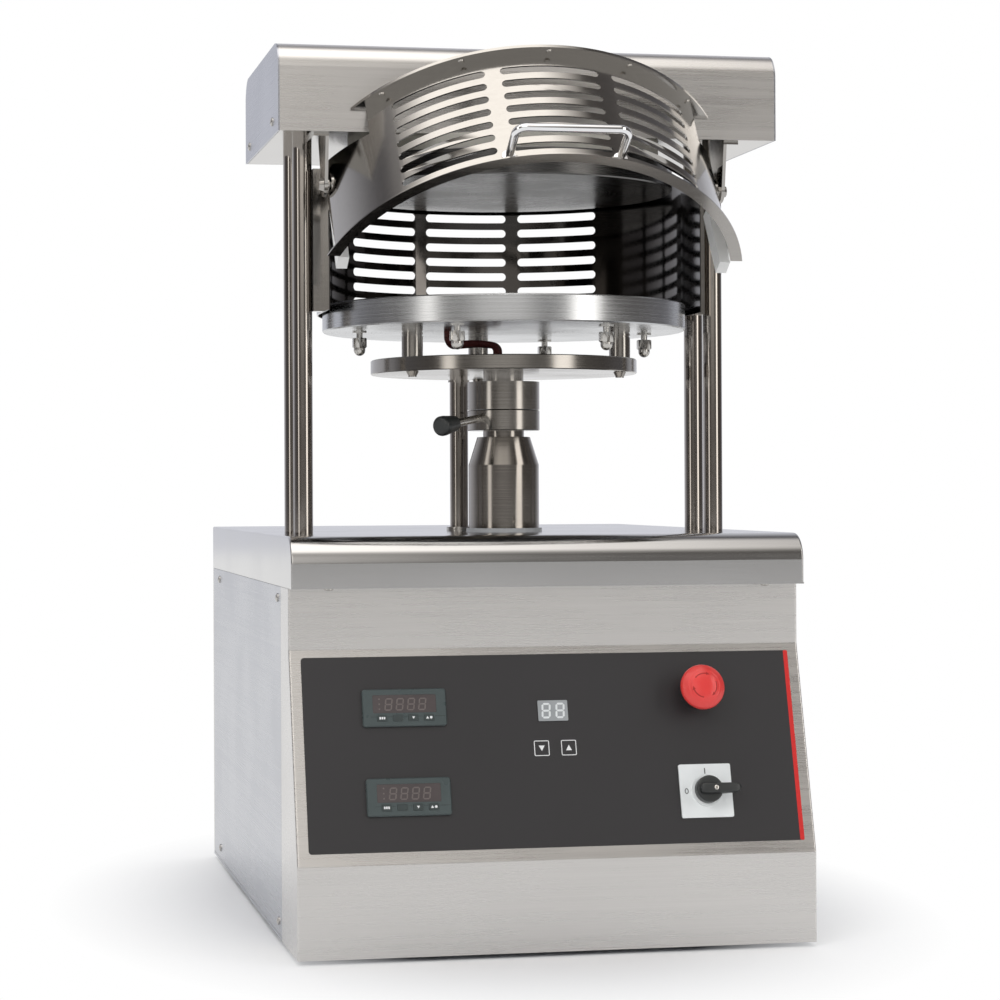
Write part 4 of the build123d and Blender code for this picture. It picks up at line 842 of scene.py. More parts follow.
def raised(outline: np.ndarray, low: float, high: float) -> Surface:
    """A thin plate: an outline in local x and y, raised from one height to another.

    Args:
        outline: The outline's points, anticlockwise.
        low: The plate's lower height.
        high: The plate's upper height.

    Returns:
        The points and the faces.
    """
    count = len(outline)
    bottom = np.column_stack([outline, np.full(count, low)])
    top = np.column_stack([outline, np.full(count, high)])
    here = np.arange(count)
    after = (here + 1) % count
    sides = np.stack([here, after, after + count, here + count], axis=-1)
    caps = [tuple(here[::-1].tolist()), tuple((here + count).tolist())]
    return np.concatenate([bottom, top]), [*sides.tolist(), *caps]


def rounded_box(width: float, height: float, radius: float, steps: int = 6) -> np.ndarray:
    """The outline of a rectangle with round corners, each a quarter circle.

    Args:
        width: Size along x.
        height: Size along y.
        radius: Corner radius.
        steps: Points in a corner.

    Returns:
        The outline, anticlockwise from the right.
    """
    quarter = np.linspace(0.0, math.pi / 2.0, steps)
    angle = (np.arange(4)[:, None] * math.pi / 2.0 + quarter[None, :]).ravel()
    corner = np.repeat([[1, 1], [-1, 1], [-1, -1], [1, -1]], steps, axis=0)
    middle = corner * np.array([width / 2.0 - radius, height / 2.0 - radius])
    return middle + radius * np.column_stack([np.cos(angle), np.sin(angle)])


def hoop(outer: np.ndarray, inner: np.ndarray, low: float, high: float) -> Surface:
    """A flat ring between two outlines with the same number of points.

    Args:
        outer: The outer outline, anticlockwise.
        inner: The inner outline, anticlockwise.
        low: The ring's lower height.
        high: The ring's upper height.

    Returns:
        The points and the faces.
    """
    loops = ((inner, low), (outer, low), (outer, high), (inner, high), (inner, low))
    rows = np.stack([np.column_stack([line, np.full(len(line), z)]) for line, z in loops[:4]])
    count = len(outer)
    faces = quads(5, count, True) % (4 * count)
    return rows.reshape(-1, 3), faces.tolist()


def segments(height: float, width: float, stroke: float, slant: float) -> list[np.ndarray]:
    """The seven bars of a digit, each a bar with pointed ends, leaned over by a slant.

    Args:
        height: Height of the digit between the middles of its bars.
        width: Width between the middles of its bars.
        stroke: Width of a bar.
        slant: Lean, in radians.

    Returns:
        Seven outlines about the digit's centre.
    """
    half = stroke / 2.0
    gap = 0.12 * stroke
    outlines = []
    for x, y, length, upright in (
        (0.0, height / 2, width, False),
        (0.0, 0.0, width, False),
        (0.0, -height / 2, width, False),
        (-width / 2, height / 4, height / 2, True),
        (width / 2, height / 4, height / 2, True),
        (-width / 2, -height / 4, height / 2, True),
        (width / 2, -height / 4, height / 2, True),
    ):
        reach = length / 2 - gap
        bar = np.array(
            [[-reach, 0], [-reach + half, -half], [reach - half, -half],
             [reach, 0], [reach - half, half], [-reach + half, half]]
        )
        if upright:
            bar = np.column_stack([-bar[:, 1], bar[:, 0]])
        bar = bar + [x, y]
        bar[:, 0] += bar[:, 1] * math.tan(slant)
        outlines.append(bar)
    return outlines


def cross_head(radius: float, height: float, steps: int = 27) -> Surface:
    """A domed screw head with a cross recess.

    A square grid (u, v) is drawn out to a disc: x = u sqrt(1 - v^2 / 2), y = v sqrt(1 - u^2 / 2).
    Its height is a dome, h sqrt(1 - 0.8 r^2), less the recess in the arms of the cross.

    Args:
        radius: The head's radius.
        height: How far it stands proud.
        steps: Points along an edge of the grid.

    Returns:
        The points and the faces.
    """
    bow, recess = 0.8, 0.6
    arm_half, arm_reach = 0.11, 0.55
    even = np.linspace(-1.0, 1.0, steps)
    line = 0.6 * even + 0.4 * np.sin(even * math.pi / 2.0)
    u, v = (part.T for part in np.meshgrid(line, line))
    x, y = u * np.sqrt(1 - v**2 / 2), v * np.sqrt(1 - u**2 / 2)
    reach = np.minimum(1.0, np.hypot(x, y))
    top = height * np.sqrt(1.0 - bow * reach**2)
    arm = (np.minimum(abs(x), abs(y)) < arm_half) & (np.maximum(abs(x), abs(y)) < arm_reach)
    top = np.where(arm, top - height * recess * (1.0 - recess * reach), top)
    upper = np.stack([x * radius, y * radius, top], axis=-1).reshape(-1, 3)
    lower = np.stack([x * radius, y * radius, np.zeros_like(top)], axis=-1).reshape(-1, 3)
    faces = quads(steps, steps)
    edge = np.concatenate(
        [np.arange(steps), np.arange(2 * steps - 1, steps * steps, steps),
         np.arange(steps * steps - 2, steps * (steps - 1) - 1, -1),
         np.arange(steps * (steps - 2), 0, -steps)]
    )
    count = steps**2
    after = np.roll(edge, -1)
    rim = np.stack([edge, after, after + count, edge + count], axis=-1)
    return np.concatenate([upper, lower]), [
        *faces[:, ::-1].tolist(), *(faces + count).tolist(), *rim.tolist()
    ]


def screws(name: str, places: Sequence[Place], node: str) -> None:
    """Cross-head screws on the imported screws' places.

    Args:
        name: The piece's name.
        places: Where each head sits.
        node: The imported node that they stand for.
    """
    head = cross_head(*SCREW_HEAD)
    shape = Shape()
    for place in places:
        shape.put(head, place)
    shape.piece(name, SMALL_STEEL, "frame", [node], sharp=20.0)


def dress(finish: Finish, *nodes: str) -> None:
    """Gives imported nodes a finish.

    Args:
        finish: The finish.
        nodes: The nodes' names.
    """
    for name in nodes:
        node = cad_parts[name]
        if not node.material_slots:
            node.data.materials.append(finish.material())
        for slot in node.material_slots:
            slot.material = finish.material()
        LOG.info("dressed %s in %s", name, finish.name)


# Sub-assemblies


@dataclass(frozen=True)
class SoftBox:
    """A patch of light in front of the machine, by direction: centre, half size and soft edge."""

    across: Hill
    high: Hill
    power: float


@dataclass(frozen=True)
class Lamp:
    """A soft square lamp: its name, its place, the length of its side and its power in watts."""

    name: str
    at: Point
    size: float
    power: float


@dataclass
class Studio:
    """A pale floor, soft lamps and a camera at the photograph's view."""

    eye: Point = (-0.5393, -2.5116, 0.408)
    yaw: float = math.radians(10.522)
    pitch: float = math.radians(0.187)
    roll: float = math.radians(-0.241)
    lens: float = 91.56
    shift: tuple[float, float] = (0.0905, -0.0199)
    floor_z: float = -0.0042
    lamps: tuple[Lamp, ...] = (
        Lamp("key", (-2.2, -2.6, 2.2), 1.8, 52.0),
        Lamp("fill", (2.6, -2.2, 1.3), 1.6, 20.0),
        Lamp("top", (0.2, 0.6, 3.0), 2.2, 42.0),
    )
    lamps_aim: Point = (0.0, -0.1, 0.4)
    floor_radius: float = 14.0
    floor_colour: Colour = (0.90, 0.90, 0.90)
    floor_stretch: Point = (1.43, 1.0, 1.0)
    floor_fade: tuple[float, float] = (0.37, 0.62)
    ambient: Colour = (0.95, 0.96, 1.0)
    ambient_strength: float = 0.45
    room_stops: tuple[tuple[float, Colour], ...] = (
        (0.0, (0.23, 0.22, 0.21)),
        (0.16, (0.15, 0.138, 0.125)),
        (0.40, (0.12, 0.11, 0.105)),
        (0.66, (0.17, 0.165, 0.175)),
        (0.90, (0.76, 0.77, 0.83)),
    )
    boxes: tuple[SoftBox, ...] = (
        SoftBox((-0.20, 0.20, 0.24), (0.34, 0.14, 0.17), 1.6),
        SoftBox((0.63, 0.09, 0.06), (0.10, 0.45, 0.25), 3.0),
        SoftBox((-0.86, 0.03, 0.04), (0.10, 0.45, 0.25), 2.2),
    )
    box_colour: Colour = (1.0, 0.97, 0.93)
    over_power: float = 2.4
    over_across: Hill = (-0.25, 0.40, 0.30)
    over_deep: Hill = (-0.30, 0.30, 0.35)
    over_high: tuple[float, float] = (0.5, 0.8)
    front_edge: tuple[float, float] = (-0.15, 0.05)

    def build(self) -> None:
        """Makes the camera, the floor, the lamps and the world."""
        self.camera()
        self.floor()
        for lamp in self.lamps:
            self.light(lamp)
        self.world()

    def camera(self) -> None:
        """The camera's axes are right, up and back, from its yaw, pitch and roll."""
        ahead = np.array(
            [math.sin(self.yaw) * math.cos(self.pitch), math.cos(self.yaw) * math.cos(self.pitch),
             math.sin(self.pitch)]
        )
        right = np.array([math.cos(self.yaw), -math.sin(self.yaw), 0.0])
        up = np.cross(right, ahead)
        c, s = math.cos(self.roll), math.sin(self.roll)
        turned_right, turned_up = right * c + up * s, up * c - right * s
        data = bpy.data.cameras.new("camera")
        data.sensor_width = 36.0
        data.lens = self.lens
        data.shift_x, data.shift_y = self.shift
        data.clip_end = 60.0
        view = shown_object("camera", data)
        view.matrix_world = stood(turned_right, turned_up, -ahead, self.eye)
        bpy.context.scene.camera = view

    def floor(self) -> None:
        """A large pale disc under the feet."""
        angle = around(96)
        level = np.full(len(angle), self.floor_z)
        across, deep = self.floor_radius * np.cos(angle), self.floor_radius * np.sin(angle)
        mesh = bpy.data.meshes.new("floor")
        mesh.from_pydata(
            np.column_stack([across, deep, level]).tolist(), [], [tuple(range(len(angle)))]
        )
        mesh.materials.append(self.floor_finish())
        shown_object("floor", mesh)

    def floor_finish(self) -> bpy.types.Material:
        """Pale and matt near the machine, so that it keeps the shadow, and plain white further out.

        Returns:
            The floor's material.
        """
        shader = Shader("pale floor")
        shader.fix(Base_Color=self.floor_colour, Roughness=0.8)
        length = shader.add("ShaderNodeVectorMath")
        length.operation = "LENGTH"
        shader.link(shader.position(scale=self.floor_stretch), length.inputs[0])
        far = shader.spread(length.outputs["Value"], 0.0, 1.0, *self.floor_fade)
        glow = shader.add("ShaderNodeEmission").outputs[0]
        white = shader.times(far, self.shown(shader))
        mixed = shader.blend(white, shader.surface.outputs[0], glow)
        shader.link(mixed, shader.tree.nodes["Material Output"].inputs["Surface"])
        return shader.material

    def light(self, lamp: Lamp) -> None:
        """Puts up one lamp, aimed at the middle of the machine and left out of reflections.

        Args:
            lamp: The lamp.
        """
        data = bpy.data.lights.new(lamp.name, "AREA")
        data.shape = "SQUARE"
        data.size = lamp.size
        data.energy = lamp.power
        made = shown_object(lamp.name, data)
        back = unit(np.array(lamp.at) - np.array(self.lamps_aim))
        right = unit(np.cross([0.0, 0.0, 1.0], back))
        made.matrix_world = stood(right, np.cross(back, right), back, lamp.at)
        made.visible_glossy = False

    @staticmethod
    def shown(graph: Graph) -> Socket:
        """Tells the rays that show the white background: camera, glossy and transmission rays.

        Args:
            graph: The graph that asks.

        Returns:
            1 for such a ray, and 0 for any other.
        """
        path = graph.add("ShaderNodeLightPath")
        seen = graph.math("MAXIMUM", path.outputs["Is Camera Ray"], path.outputs["Is Glossy Ray"])
        return graph.math("MAXIMUM", seen, path.outputs["Is Transmission Ray"])

    def world(self) -> None:
        """White to the camera and through glass, the room in reflections, plain light elsewhere."""
        world = bpy.data.worlds.new("studio")
        bpy.context.scene.world = world
        world.use_nodes = True
        world.node_tree.nodes.clear()
        graph = Graph(world.node_tree)
        rays = graph.add("ShaderNodeLightPath").outputs
        ambient = self.background(graph, self.ambient, self.ambient_strength)
        white = self.background(graph, (1.0, 1.0, 1.0), 1.0)
        lit = graph.blend(rays["Is Glossy Ray"], ambient.outputs[0], self.room(graph))
        seen = graph.math("MAXIMUM", rays["Is Camera Ray"], rays["Is Transmission Ray"])
        whole = graph.blend(seen, lit, white.outputs[0])
        graph.link(whole, graph.add("ShaderNodeOutputWorld").inputs["Surface"])

    @staticmethod
    def background(graph: Graph, colour: Colour, strength: float) -> bpy.types.Node:
        """One plain background.

        Args:
            graph: The world's graph.
            colour: The background's colour.
            strength: Its strength.

        Returns:
            The background node.
        """
        node = graph.add("ShaderNodeBackground")
        node.inputs["Color"].default_value = (*colour, 1.0)
        node.inputs["Strength"].default_value = strength
        return node

    def room(self, graph: Graph) -> Socket:
        """The room by direction: pale behind the machine, dim and warm in front, with soft boxes.

        Args:
            graph: The world's graph.

        Returns:
            The room's light in the direction that is looked at.
        """
        across, deep, high = graph.split(graph.add("ShaderNodeTexCoord").outputs["Generated"])
        ramp = graph.add("ShaderNodeValToRGB")
        ramp.color_ramp.interpolation = "EASE"
        graph.link(graph.spread(deep, 0.0, 1.0, -1.0, 1.0), ramp.inputs["Fac"])
        elements = ramp.color_ramp.elements
        for place, colour in self.room_stops[1:-1]:
            elements.new(place).color = (*colour, 1.0)
        for element, (place, colour) in zip(
            (elements[0], elements[-1]), (self.room_stops[0], self.room_stops[-1])
        ):
            element.position = place
            element.color = (*colour, 1.0)
        walls = graph.add("ShaderNodeBackground")
        graph.link(ramp.outputs["Color"], walls.inputs["Color"])
        front = graph.spread(deep, 1.0, 0.0, *self.front_edge)
        over = graph.times(graph.hill(across, *self.over_across), graph.hill(deep, *self.over_deep))
        glow = graph.times(
            graph.times(over, graph.spread(high, 0.0, 1.0, *self.over_high)), self.over_power
        )
        for box in self.boxes:
            patch = graph.times(graph.hill(across, *box.across), graph.hill(high, *box.high))
            glow = graph.plus(glow, graph.times(graph.times(patch, front), box.power))
        boxes = self.background(graph, self.box_colour, 0.0)
        graph.link(glow, boxes.inputs["Strength"])
        both = graph.add("ShaderNodeAddShader")
        graph.link(walls.outputs[0], both.inputs[0])
        graph.link(boxes.outputs[0], both.inputs[1])
        return both.outputs[0]


@dataclass
class Housing:
    """The sheet-metal base with its feet, its screws and what shows of the inner frame."""

    side_screws_y: tuple[float, float] = (-0.214, 0.2672)
    side_screws_z: tuple[float, float] = (0.0153, 0.3092)
    hem_screw: Point = (0.2005, -0.2955, 0.320)

    def build(self) -> None:
        """Dresses the sheets and makes the screw heads on both sides and under the cover's hem."""
        dress(FRONT_SHEET, "front_panel", "rear_panel")
        dress(COVER_SHEET, "top_cover")
        dress(SIDE_SHEET, "side_panel_left", "side_panel_right", "base_tray")
        dress(PRIMER, "base_frame", "lift_cylinder")
        dress(RUBBER, "foot_front_left", "foot_rear_left", "foot_front_right", "foot_rear_right")
        dress(BLACK, "mains_gland")
        x, y, z = self.hem_screw
        places = []
        for side in (-1.0, 1.0):
            for at in self.side_screws_y:
                places += [on_side(side, at, up) for up in self.side_screws_z]
            places.append(Place((side * x, y, z), (0.0, 1.0, 0.0), (0.0, 0.0, -1.0)))
        screws("panel_screw_heads", places, "panel_screws")


@dataclass
class Controller:
    """A panel controller's smoked window, unlit digits, a dark line painted as a groove's shade,
    and the marks on its keys.
    """

    level: str
    v: float
    x: float = -0.1342
    face: float = 0.0040
    window: tuple[float, float, float] = (0.0568, 0.0161, 0.0011)
    window_v: float = 0.0033
    window_skin: tuple[float, float] = (-0.00058, -0.00012)
    digit: tuple[float, float, float] = (0.0100, 0.0056, 0.0012)
    digit_lean: float = math.radians(8.0)
    digit_first: float = -0.0142
    digit_pitch: float = 0.0101
    digit_v: float = -0.0004
    dot: tuple[float, float, float] = (0.0014, 0.0014, 0.0004)
    dots_x: float = -0.0225
    dots_v: tuple[float, ...] = (0.0045, 0.0, -0.0045)
    keys_v: float = -0.0093
    key_first: float = -0.0204
    key_pitch: float = 0.014
    key_top: float = 0.00435
    line_v: float = 0.0012
    line: tuple[float, float] = (0.0004, 0.00015)
    line_parts: tuple[tuple[float, float], ...] = (
        (-0.0305, -0.0256), (-0.0151, -0.0117), (-0.0012, 0.0022),
        (0.0128, 0.0162), (0.0268, 0.0364),
    )
    bar: tuple[float, float, float] = (0.0014, 0.0022, 0.0003)
    bars_x: tuple[float, ...] = (-0.0019, 0.0, 0.0019)
    arrow: tuple[tuple[float, float], ...] = ((-0.0013, -0.0011), (0.0013, -0.0011), (0.0, 0.0012))
    arrow_x: float = -0.0015
    disc: tuple[float, float, float] = (0.0024, 0.0024, 0.0012)
    disc_x: float = 0.0018

    def build(self) -> None:
        """Makes the window, the digits with three dots before them, the line and the marks."""
        skin, top = self.window_skin
        place = PANEL.shifted(self.x, self.v + self.window_v, self.face)
        glass = raised(rounded_box(*self.window), skin, top)
        Shape().put(glass, place).piece(f"{self.level}_window", SMOKED, "frame")
        digits = Shape()
        for n in range(4):
            spot = place.shifted(self.digit_first + n * self.digit_pitch, self.digit_v, top)
            for bar in segments(*self.digit, self.digit_lean):
                digits.put(raised(bar, 0.0, PRINT / 2), spot)
        for v in self.dots_v:
            spot = place.shifted(self.dots_x, v, top)
            digits.put(raised(rounded_box(*self.dot), 0.0, PRINT / 2), spot)
        digits.piece(f"{self.level}_digits", SEGMENT, "frame")
        self.groove_shade_line()
        self.key_marks()

    def groove_shade_line(self) -> None:
        """The fine dark line that runs between the keys, painted black as the shade of a groove."""
        place = PANEL.shifted(self.x, self.v + self.keys_v + self.line_v, self.face)
        width, radius = self.line
        line = Shape()
        for left, right in self.line_parts:
            bar = rounded_box(right - left, width, radius, 3)
            line.put(raised(bar, 0.0, PRINT), place.shifted((left + right) / 2, 0.0))
        # Painted black: the shade of a groove, drawn as a flat strip.
        line.piece(f"{self.level}_engraving", BLACK, "frame")

    def key_marks(self) -> None:
        """White marks on three keys: three bars, an arrow down, and an arrow up with a dot."""
        arrow = np.array(self.arrow)
        marks = {
            0: [rounded_box(*self.bar, 3) + [x, 0.0] for x in self.bars_x],
            2: [(arrow * [1.0, -1.0])[::-1]],
            3: [arrow + [self.arrow_x, 0.0], rounded_box(*self.disc, 5) + [self.disc_x, 0.0]],
        }
        for number, outlines in marks.items():
            x = self.x + self.key_first + number * self.key_pitch
            place = PANEL.shifted(x, self.v + self.keys_v, self.key_top)
            shape = Shape()
            for outline in outlines:
                shape.put(raised(outline, 0.0, PRINT), place)
            key = f"{self.level}_key"
            shape.piece(f"{key}_mark_{number + 1}", INK, f"{key}_{number + 1}_body")


@dataclass
class Timer:
    """The timer's grey window with two digits, and the two keys printed under it."""

    centre: tuple[float, float] = (0.0006, 0.1325)
    face: float = 0.0008
    window: tuple[float, float, float] = (0.0273, 0.0186, 0.001)
    window_top: float = 0.0002
    digit_top: float = 0.0003
    digit: tuple[float, float, float] = (0.0122, 0.0066, 0.0018)
    digit_lean: float = math.radians(3.0)
    digits_x: tuple[float, float] = (-0.0062, 0.0066)
    keys_x: tuple[float, float] = (-0.0116, 0.0132)
    keys_v: float = 0.0990
    key_size: float = 0.0138
    key_line: float = 0.0007
    key_radii: tuple[float, float] = (0.0012, 0.0006)
    arrow: tuple[tuple[float, float], ...] = ((-0.0027, -0.0024), (0.0027, -0.0024), (0.0, 0.0026))

    def build(self) -> None:
        """Makes the window, its digits, and the framed arrows down and up."""
        place = PANEL.shifted(*self.centre, FILM_TOP + self.face)
        glass = raised(rounded_box(*self.window), 0.0, self.window_top)
        Shape().put(glass, place).piece("timer_window", GREY_WINDOW, "frame")
        digits = Shape()
        for x in self.digits_x:
            for bar in segments(*self.digit, self.digit_lean):
                digits.put(raised(bar, self.window_top, self.digit_top), place.shifted(x, 0.0))
        digits.piece("timer_digits", PALE_SEGMENT, "frame")
        prints = Shape()
        inside = self.key_size - 2.0 * self.key_line
        outer = rounded_box(self.key_size, self.key_size, self.key_radii[0])
        inner = rounded_box(inside, inside, self.key_radii[1])
        for x, way in zip(self.keys_x, (-1, 1)):
            spot = PANEL.shifted(x, self.keys_v, FILM_TOP)
            prints.put(hoop(outer, inner, 0.0, PRINT), spot)
            triangle = (np.array(self.arrow) * [1.0, way])[::way]
            prints.put(raised(triangle, 0.0, PRINT), spot)
        prints.piece("timer_key_prints", INK, "frame")


@dataclass
class StopButton:
    """The emergency button's mushroom head. Its heights are over the panel."""

    centre: tuple[float, float] = (0.1342, 0.147)
    under: tuple[tuple[float, float], ...] = (
        (0.0, 0.0132), (0.0128, 0.0132), (0.0130, 0.0136), (0.0130, 0.0172),
    )
    rim_centre: tuple[float, float] = (0.0163, 0.0238)
    rim_half: tuple[float, float] = (0.0040, 0.0044)
    crown: float = 0.0330
    crown_reach: float = 0.0173
    crown_drop: float = 0.0052 * 0.9
    groove: tuple[float, float, float] = (0.0134, 0.0005, 0.00045)
    arrow_first: float = math.radians(20.0)
    arrow_sweep: float = 1.35
    arrow_reach: float = 0.0109
    arrow_neck: float = 0.78
    arrow_half: tuple[float, float] = (0.00045, 0.00135)
    arrow_point: float = 0.00002
    arrow_lift: float = 0.00012
    arrow_depth: float = 0.0003

    def build(self) -> None:
        """Turns the head from its profile and lays three arrows on its crown."""
        place = PANEL.shifted(*self.centre)
        edge = np.linspace(-0.45 * math.pi, 0.35 * math.pi, 12)
        (x, z), (wide, high) = self.rim_centre, self.rim_half
        rim = np.column_stack([x + wide * np.cos(edge), z + high * np.sin(edge)])
        reach = np.linspace(self.crown_reach, 0.0, 26)[1:]
        dome = np.column_stack([reach, self.dome(reach)])
        head = turned(np.concatenate([self.under, rim, dome]), 96)
        mushroom = Shape().put(head, place)
        mushroom.piece("stop_mushroom", RED, "mushroom", ["stop_button"], sharp=50.0)
        arrows = Shape()
        for n in range(3):
            arrows.put(self.turning_arrow(math.radians(120.0 * n) + self.arrow_first), place)
        arrows.piece("stop_arrows", RED_MARK, "mushroom")

    def dome(self, reach: np.ndarray) -> np.ndarray:
        """Height of the crown: a cap that falls with the cube of the reach, less a groove.

        Args:
            reach: Distances from the button's axis.

        Returns:
            The heights there.
        """
        middle, width, depth = self.groove
        groove = depth * np.exp(-(((reach - middle) / width) ** 2))
        return self.crown - self.crown_drop * (reach / self.crown_reach) ** 3 - groove

    def turning_arrow(self, start: float) -> Surface:
        """An arrow bent round the crown: a strip that widens into a head and narrows to a point.

        A point is at the angle start - s sweep and the radius reach + c w(s), with c from -1 to 1.

        Args:
            start: The angle at which the arrow begins.

        Returns:
            The points and the faces.
        """
        neck, (strip, head) = self.arrow_neck, self.arrow_half
        s = np.concatenate([np.linspace(0.0, neck, 18), [neck + 0.001], np.linspace(0.80, 1.0, 6)])
        half = np.where(s <= neck, strip, head * (1.0 - s) / (1.0 - neck) + self.arrow_point)
        reach = self.arrow_reach + np.array([-1.0, 1.0])[None, :] * half[:, None]
        angle = np.repeat((start - s * self.arrow_sweep)[:, None], 2, axis=1)
        high = self.dome(reach) + self.arrow_lift
        top = np.stack([reach * np.cos(angle), reach * np.sin(angle), high], axis=-1).reshape(-1, 3)
        low = top - [0.0, 0.0, self.arrow_depth]
        faces = quads(len(s), 2)
        count = len(top)
        loop = np.concatenate([np.arange(0, count, 2), np.arange(count - 1, 0, -2)])
        after = np.roll(loop, -1)
        rim = np.stack([loop, after, after + count, loop + count], axis=-1)
        return np.concatenate([top, low]), [
            *faces.tolist(), *(faces[:, ::-1] + count).tolist(), *rim[:, ::-1].tolist()
        ]


@dataclass
class MainSwitch:
    """The switch's printed 1 and 0, its round knob and the long grip that points right."""

    centre: tuple[float, float] = (0.1362, 0.057)
    plate_top: float = 0.002
    knob_base: float = 0.0062
    one: tuple[float, float, float] = (0.0010, 0.0052, 0.0002)
    one_v: float = 0.0178
    zero: tuple[tuple[float, float], ...] = ((0.0018, 0.0026), (0.0010, 0.0018))
    zero_x: float = -0.0182
    foot: tuple[tuple[float, float], ...] = ((0.0, 0.0), (0.0118, 0.0), (0.0120, 0.0003))
    foot_top: float = 0.0090
    shoulder: tuple[float, float, float] = (0.0106, 0.0076, 0.0014)
    grip_middle: float = 0.009
    grip_reach: float = 0.019
    grip_half: float = 0.0050
    grip_taper: float = 0.0008
    grip_low: tuple[float, float] = (0.0030, 0.0022)
    grip_high: tuple[float, float, float] = (0.0152, 0.0018, 0.0016)
    grip_power: float = 0.35
    screw: tuple[float, float, int] = (0.0021, 0.0007, 21)
    screw_at: Point = (0.0042, 0.0, 0.0143)

    def build(self) -> None:
        """Makes the prints, the knob with its grip, and the screw in it."""
        place = PANEL.shifted(*self.centre, FILM_TOP + self.plate_top)
        prints = Shape()
        one = raised(rounded_box(*self.one, 3), 0.0, PRINT)
        prints.put(one, place.shifted(0.0, self.one_v))
        angle = around(40)
        ring = np.column_stack([np.cos(angle), np.sin(angle)])
        outer, inner = (ring * half for half in self.zero)
        prints.put(hoop(outer, inner, 0.0, PRINT), place.shifted(self.zero_x, 0.0))
        prints.piece("switch_prints", DARK_INK, "frame")
        base = PANEL.shifted(*self.centre, self.knob_base + FILM_TOP)
        angle = np.linspace(0.0, QUARTER_TURN, 6)
        x, z, radius = self.shoulder
        shoulder = np.column_stack([x + radius * np.cos(angle), z + radius * np.sin(angle)])
        foot = turned(np.concatenate([self.foot, shoulder, [(0.0, self.foot_top)]]), 72)
        knob = Shape().put(foot, base).put(self.grip(), base)
        knob.piece("switch_handle", BLACK, "knob", ["switch_knob"], sharp=45.0)
        screw = Shape().put(cross_head(*self.screw), base.shifted(*self.screw_at))
        screw.piece("switch_screw", SMALL_STEEL, "knob")

    def grip(self, rows: int = 33, steps: int = 24) -> Surface:
        """The long grip: a section like a rounded box, carried along it and drawn in at both ends.

        A section's point is (sign(cos t) |cos t|^p, sign(sin t) |sin t|^p) times its half sizes.

        Args:
            rows: Sections along the grip.
            steps: Points round a section.

        Returns:
            The points and the faces.
        """
        along = np.linspace(-1.0, 1.0, rows)
        run = (along + 1.0) / 2.0
        end = np.sqrt(np.maximum(0.0, 1.0 - np.abs(along) ** 8))
        half = (self.grip_half - self.grip_taper * run) * (0.25 + 0.75 * end)
        base, rise = self.grip_low
        low = base + rise * np.clip((along - 0.2) / 0.3, 0.0, 1.0)
        top, fall, rounding = self.grip_high
        high = top - fall * run - rounding * (1.0 - end)
        turn = around(steps)
        across, upward = (
            np.sign(part) * np.abs(part) ** self.grip_power for part in (np.cos(turn), np.sin(turn))
        )
        x = np.repeat((self.grip_middle + along * self.grip_reach)[:, None], steps, axis=1)
        y = -half[:, None] * across[None, :]
        z = ((high + low) / 2)[:, None] + ((high - low) / 2)[:, None] * upward[None, :]
        points = np.stack([x, y, z], axis=-1).reshape(-1, 3)
        return points, [*quads(rows, steps, True).tolist(), *end_caps(rows, steps)]


@dataclass
class Controls:
    """All that is on the sloping panel: film, controllers, timer, emergency button, main switch."""

    film: tuple[float, float] = (0.449, 0.1734)
    film_low: float = 0.0108
    stripe_width: float = 0.004
    stripe_radius: float = 0.0012
    controllers_v: tuple[float, float] = (0.1376, 0.0584)

    def build(self) -> None:
        """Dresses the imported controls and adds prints, windows, digits, button and knob."""
        dress(FILM_PRINT, "control_film")
        dress(BEZEL, "upper_controller", "lower_controller")
        dress(KEY, *(f"{level}_key_{n}" for level in ("upper", "lower") for n in (1, 2, 3, 4)))
        dress(BLACK, "timer_display", "stop_collar")
        dress(STEM, "stop_stem")
        dress(SILVER, "switch_plate")
        self.film_stripe()
        for level, v in zip(("upper", "lower"), self.controllers_v):
            Controller(level, v).build()
        for part in (Timer(), StopButton(), MainSwitch()):
            part.build()

    def film_stripe(self) -> None:
        """The red band printed along the film's right edge."""
        width, height = self.film
        outline = rounded_box(self.stripe_width, height, self.stripe_radius)
        place = PANEL.shifted(width / 2 - self.stripe_width / 2, self.film_low + height / 2)
        stripe = raised(outline, FILM_TOP, FILM_TOP + PRINT)
        Shape().put(stripe, place).piece("film_stripe", FILM_RED, "frame")


@dataclass
class Portal:
    """The four columns, the head and the fixed upper platen."""

    end_screws_y: tuple[float, float] = (-0.1905, -0.0195)
    end_screws_z: float = 0.7455

    def build(self) -> None:
        """Dresses the columns and the head and makes the screw heads on the head's ends."""
        dress(ROD, *(f"column_{y}_{x}" for y in ("front", "rear") for x in ("left", "right")))
        dress(FRONT_SHEET, "head_cover")
        dress(SIDE_SHEET, "head_end_left", "head_end_right")
        dress(GUARD_SHEET, "head_beam")
        dress(BOARD, "upper_insulation")
        # The upper platen is dressed in the aluminium with painted shade.
        dress(SHADED_PLATEN, "upper_platen")
        places = [
            on_side(side, y, self.end_screws_z) for side in (-1.0, 1.0) for y in self.end_screws_y
        ]
        screws("head_screw_heads", places, "head_screws")


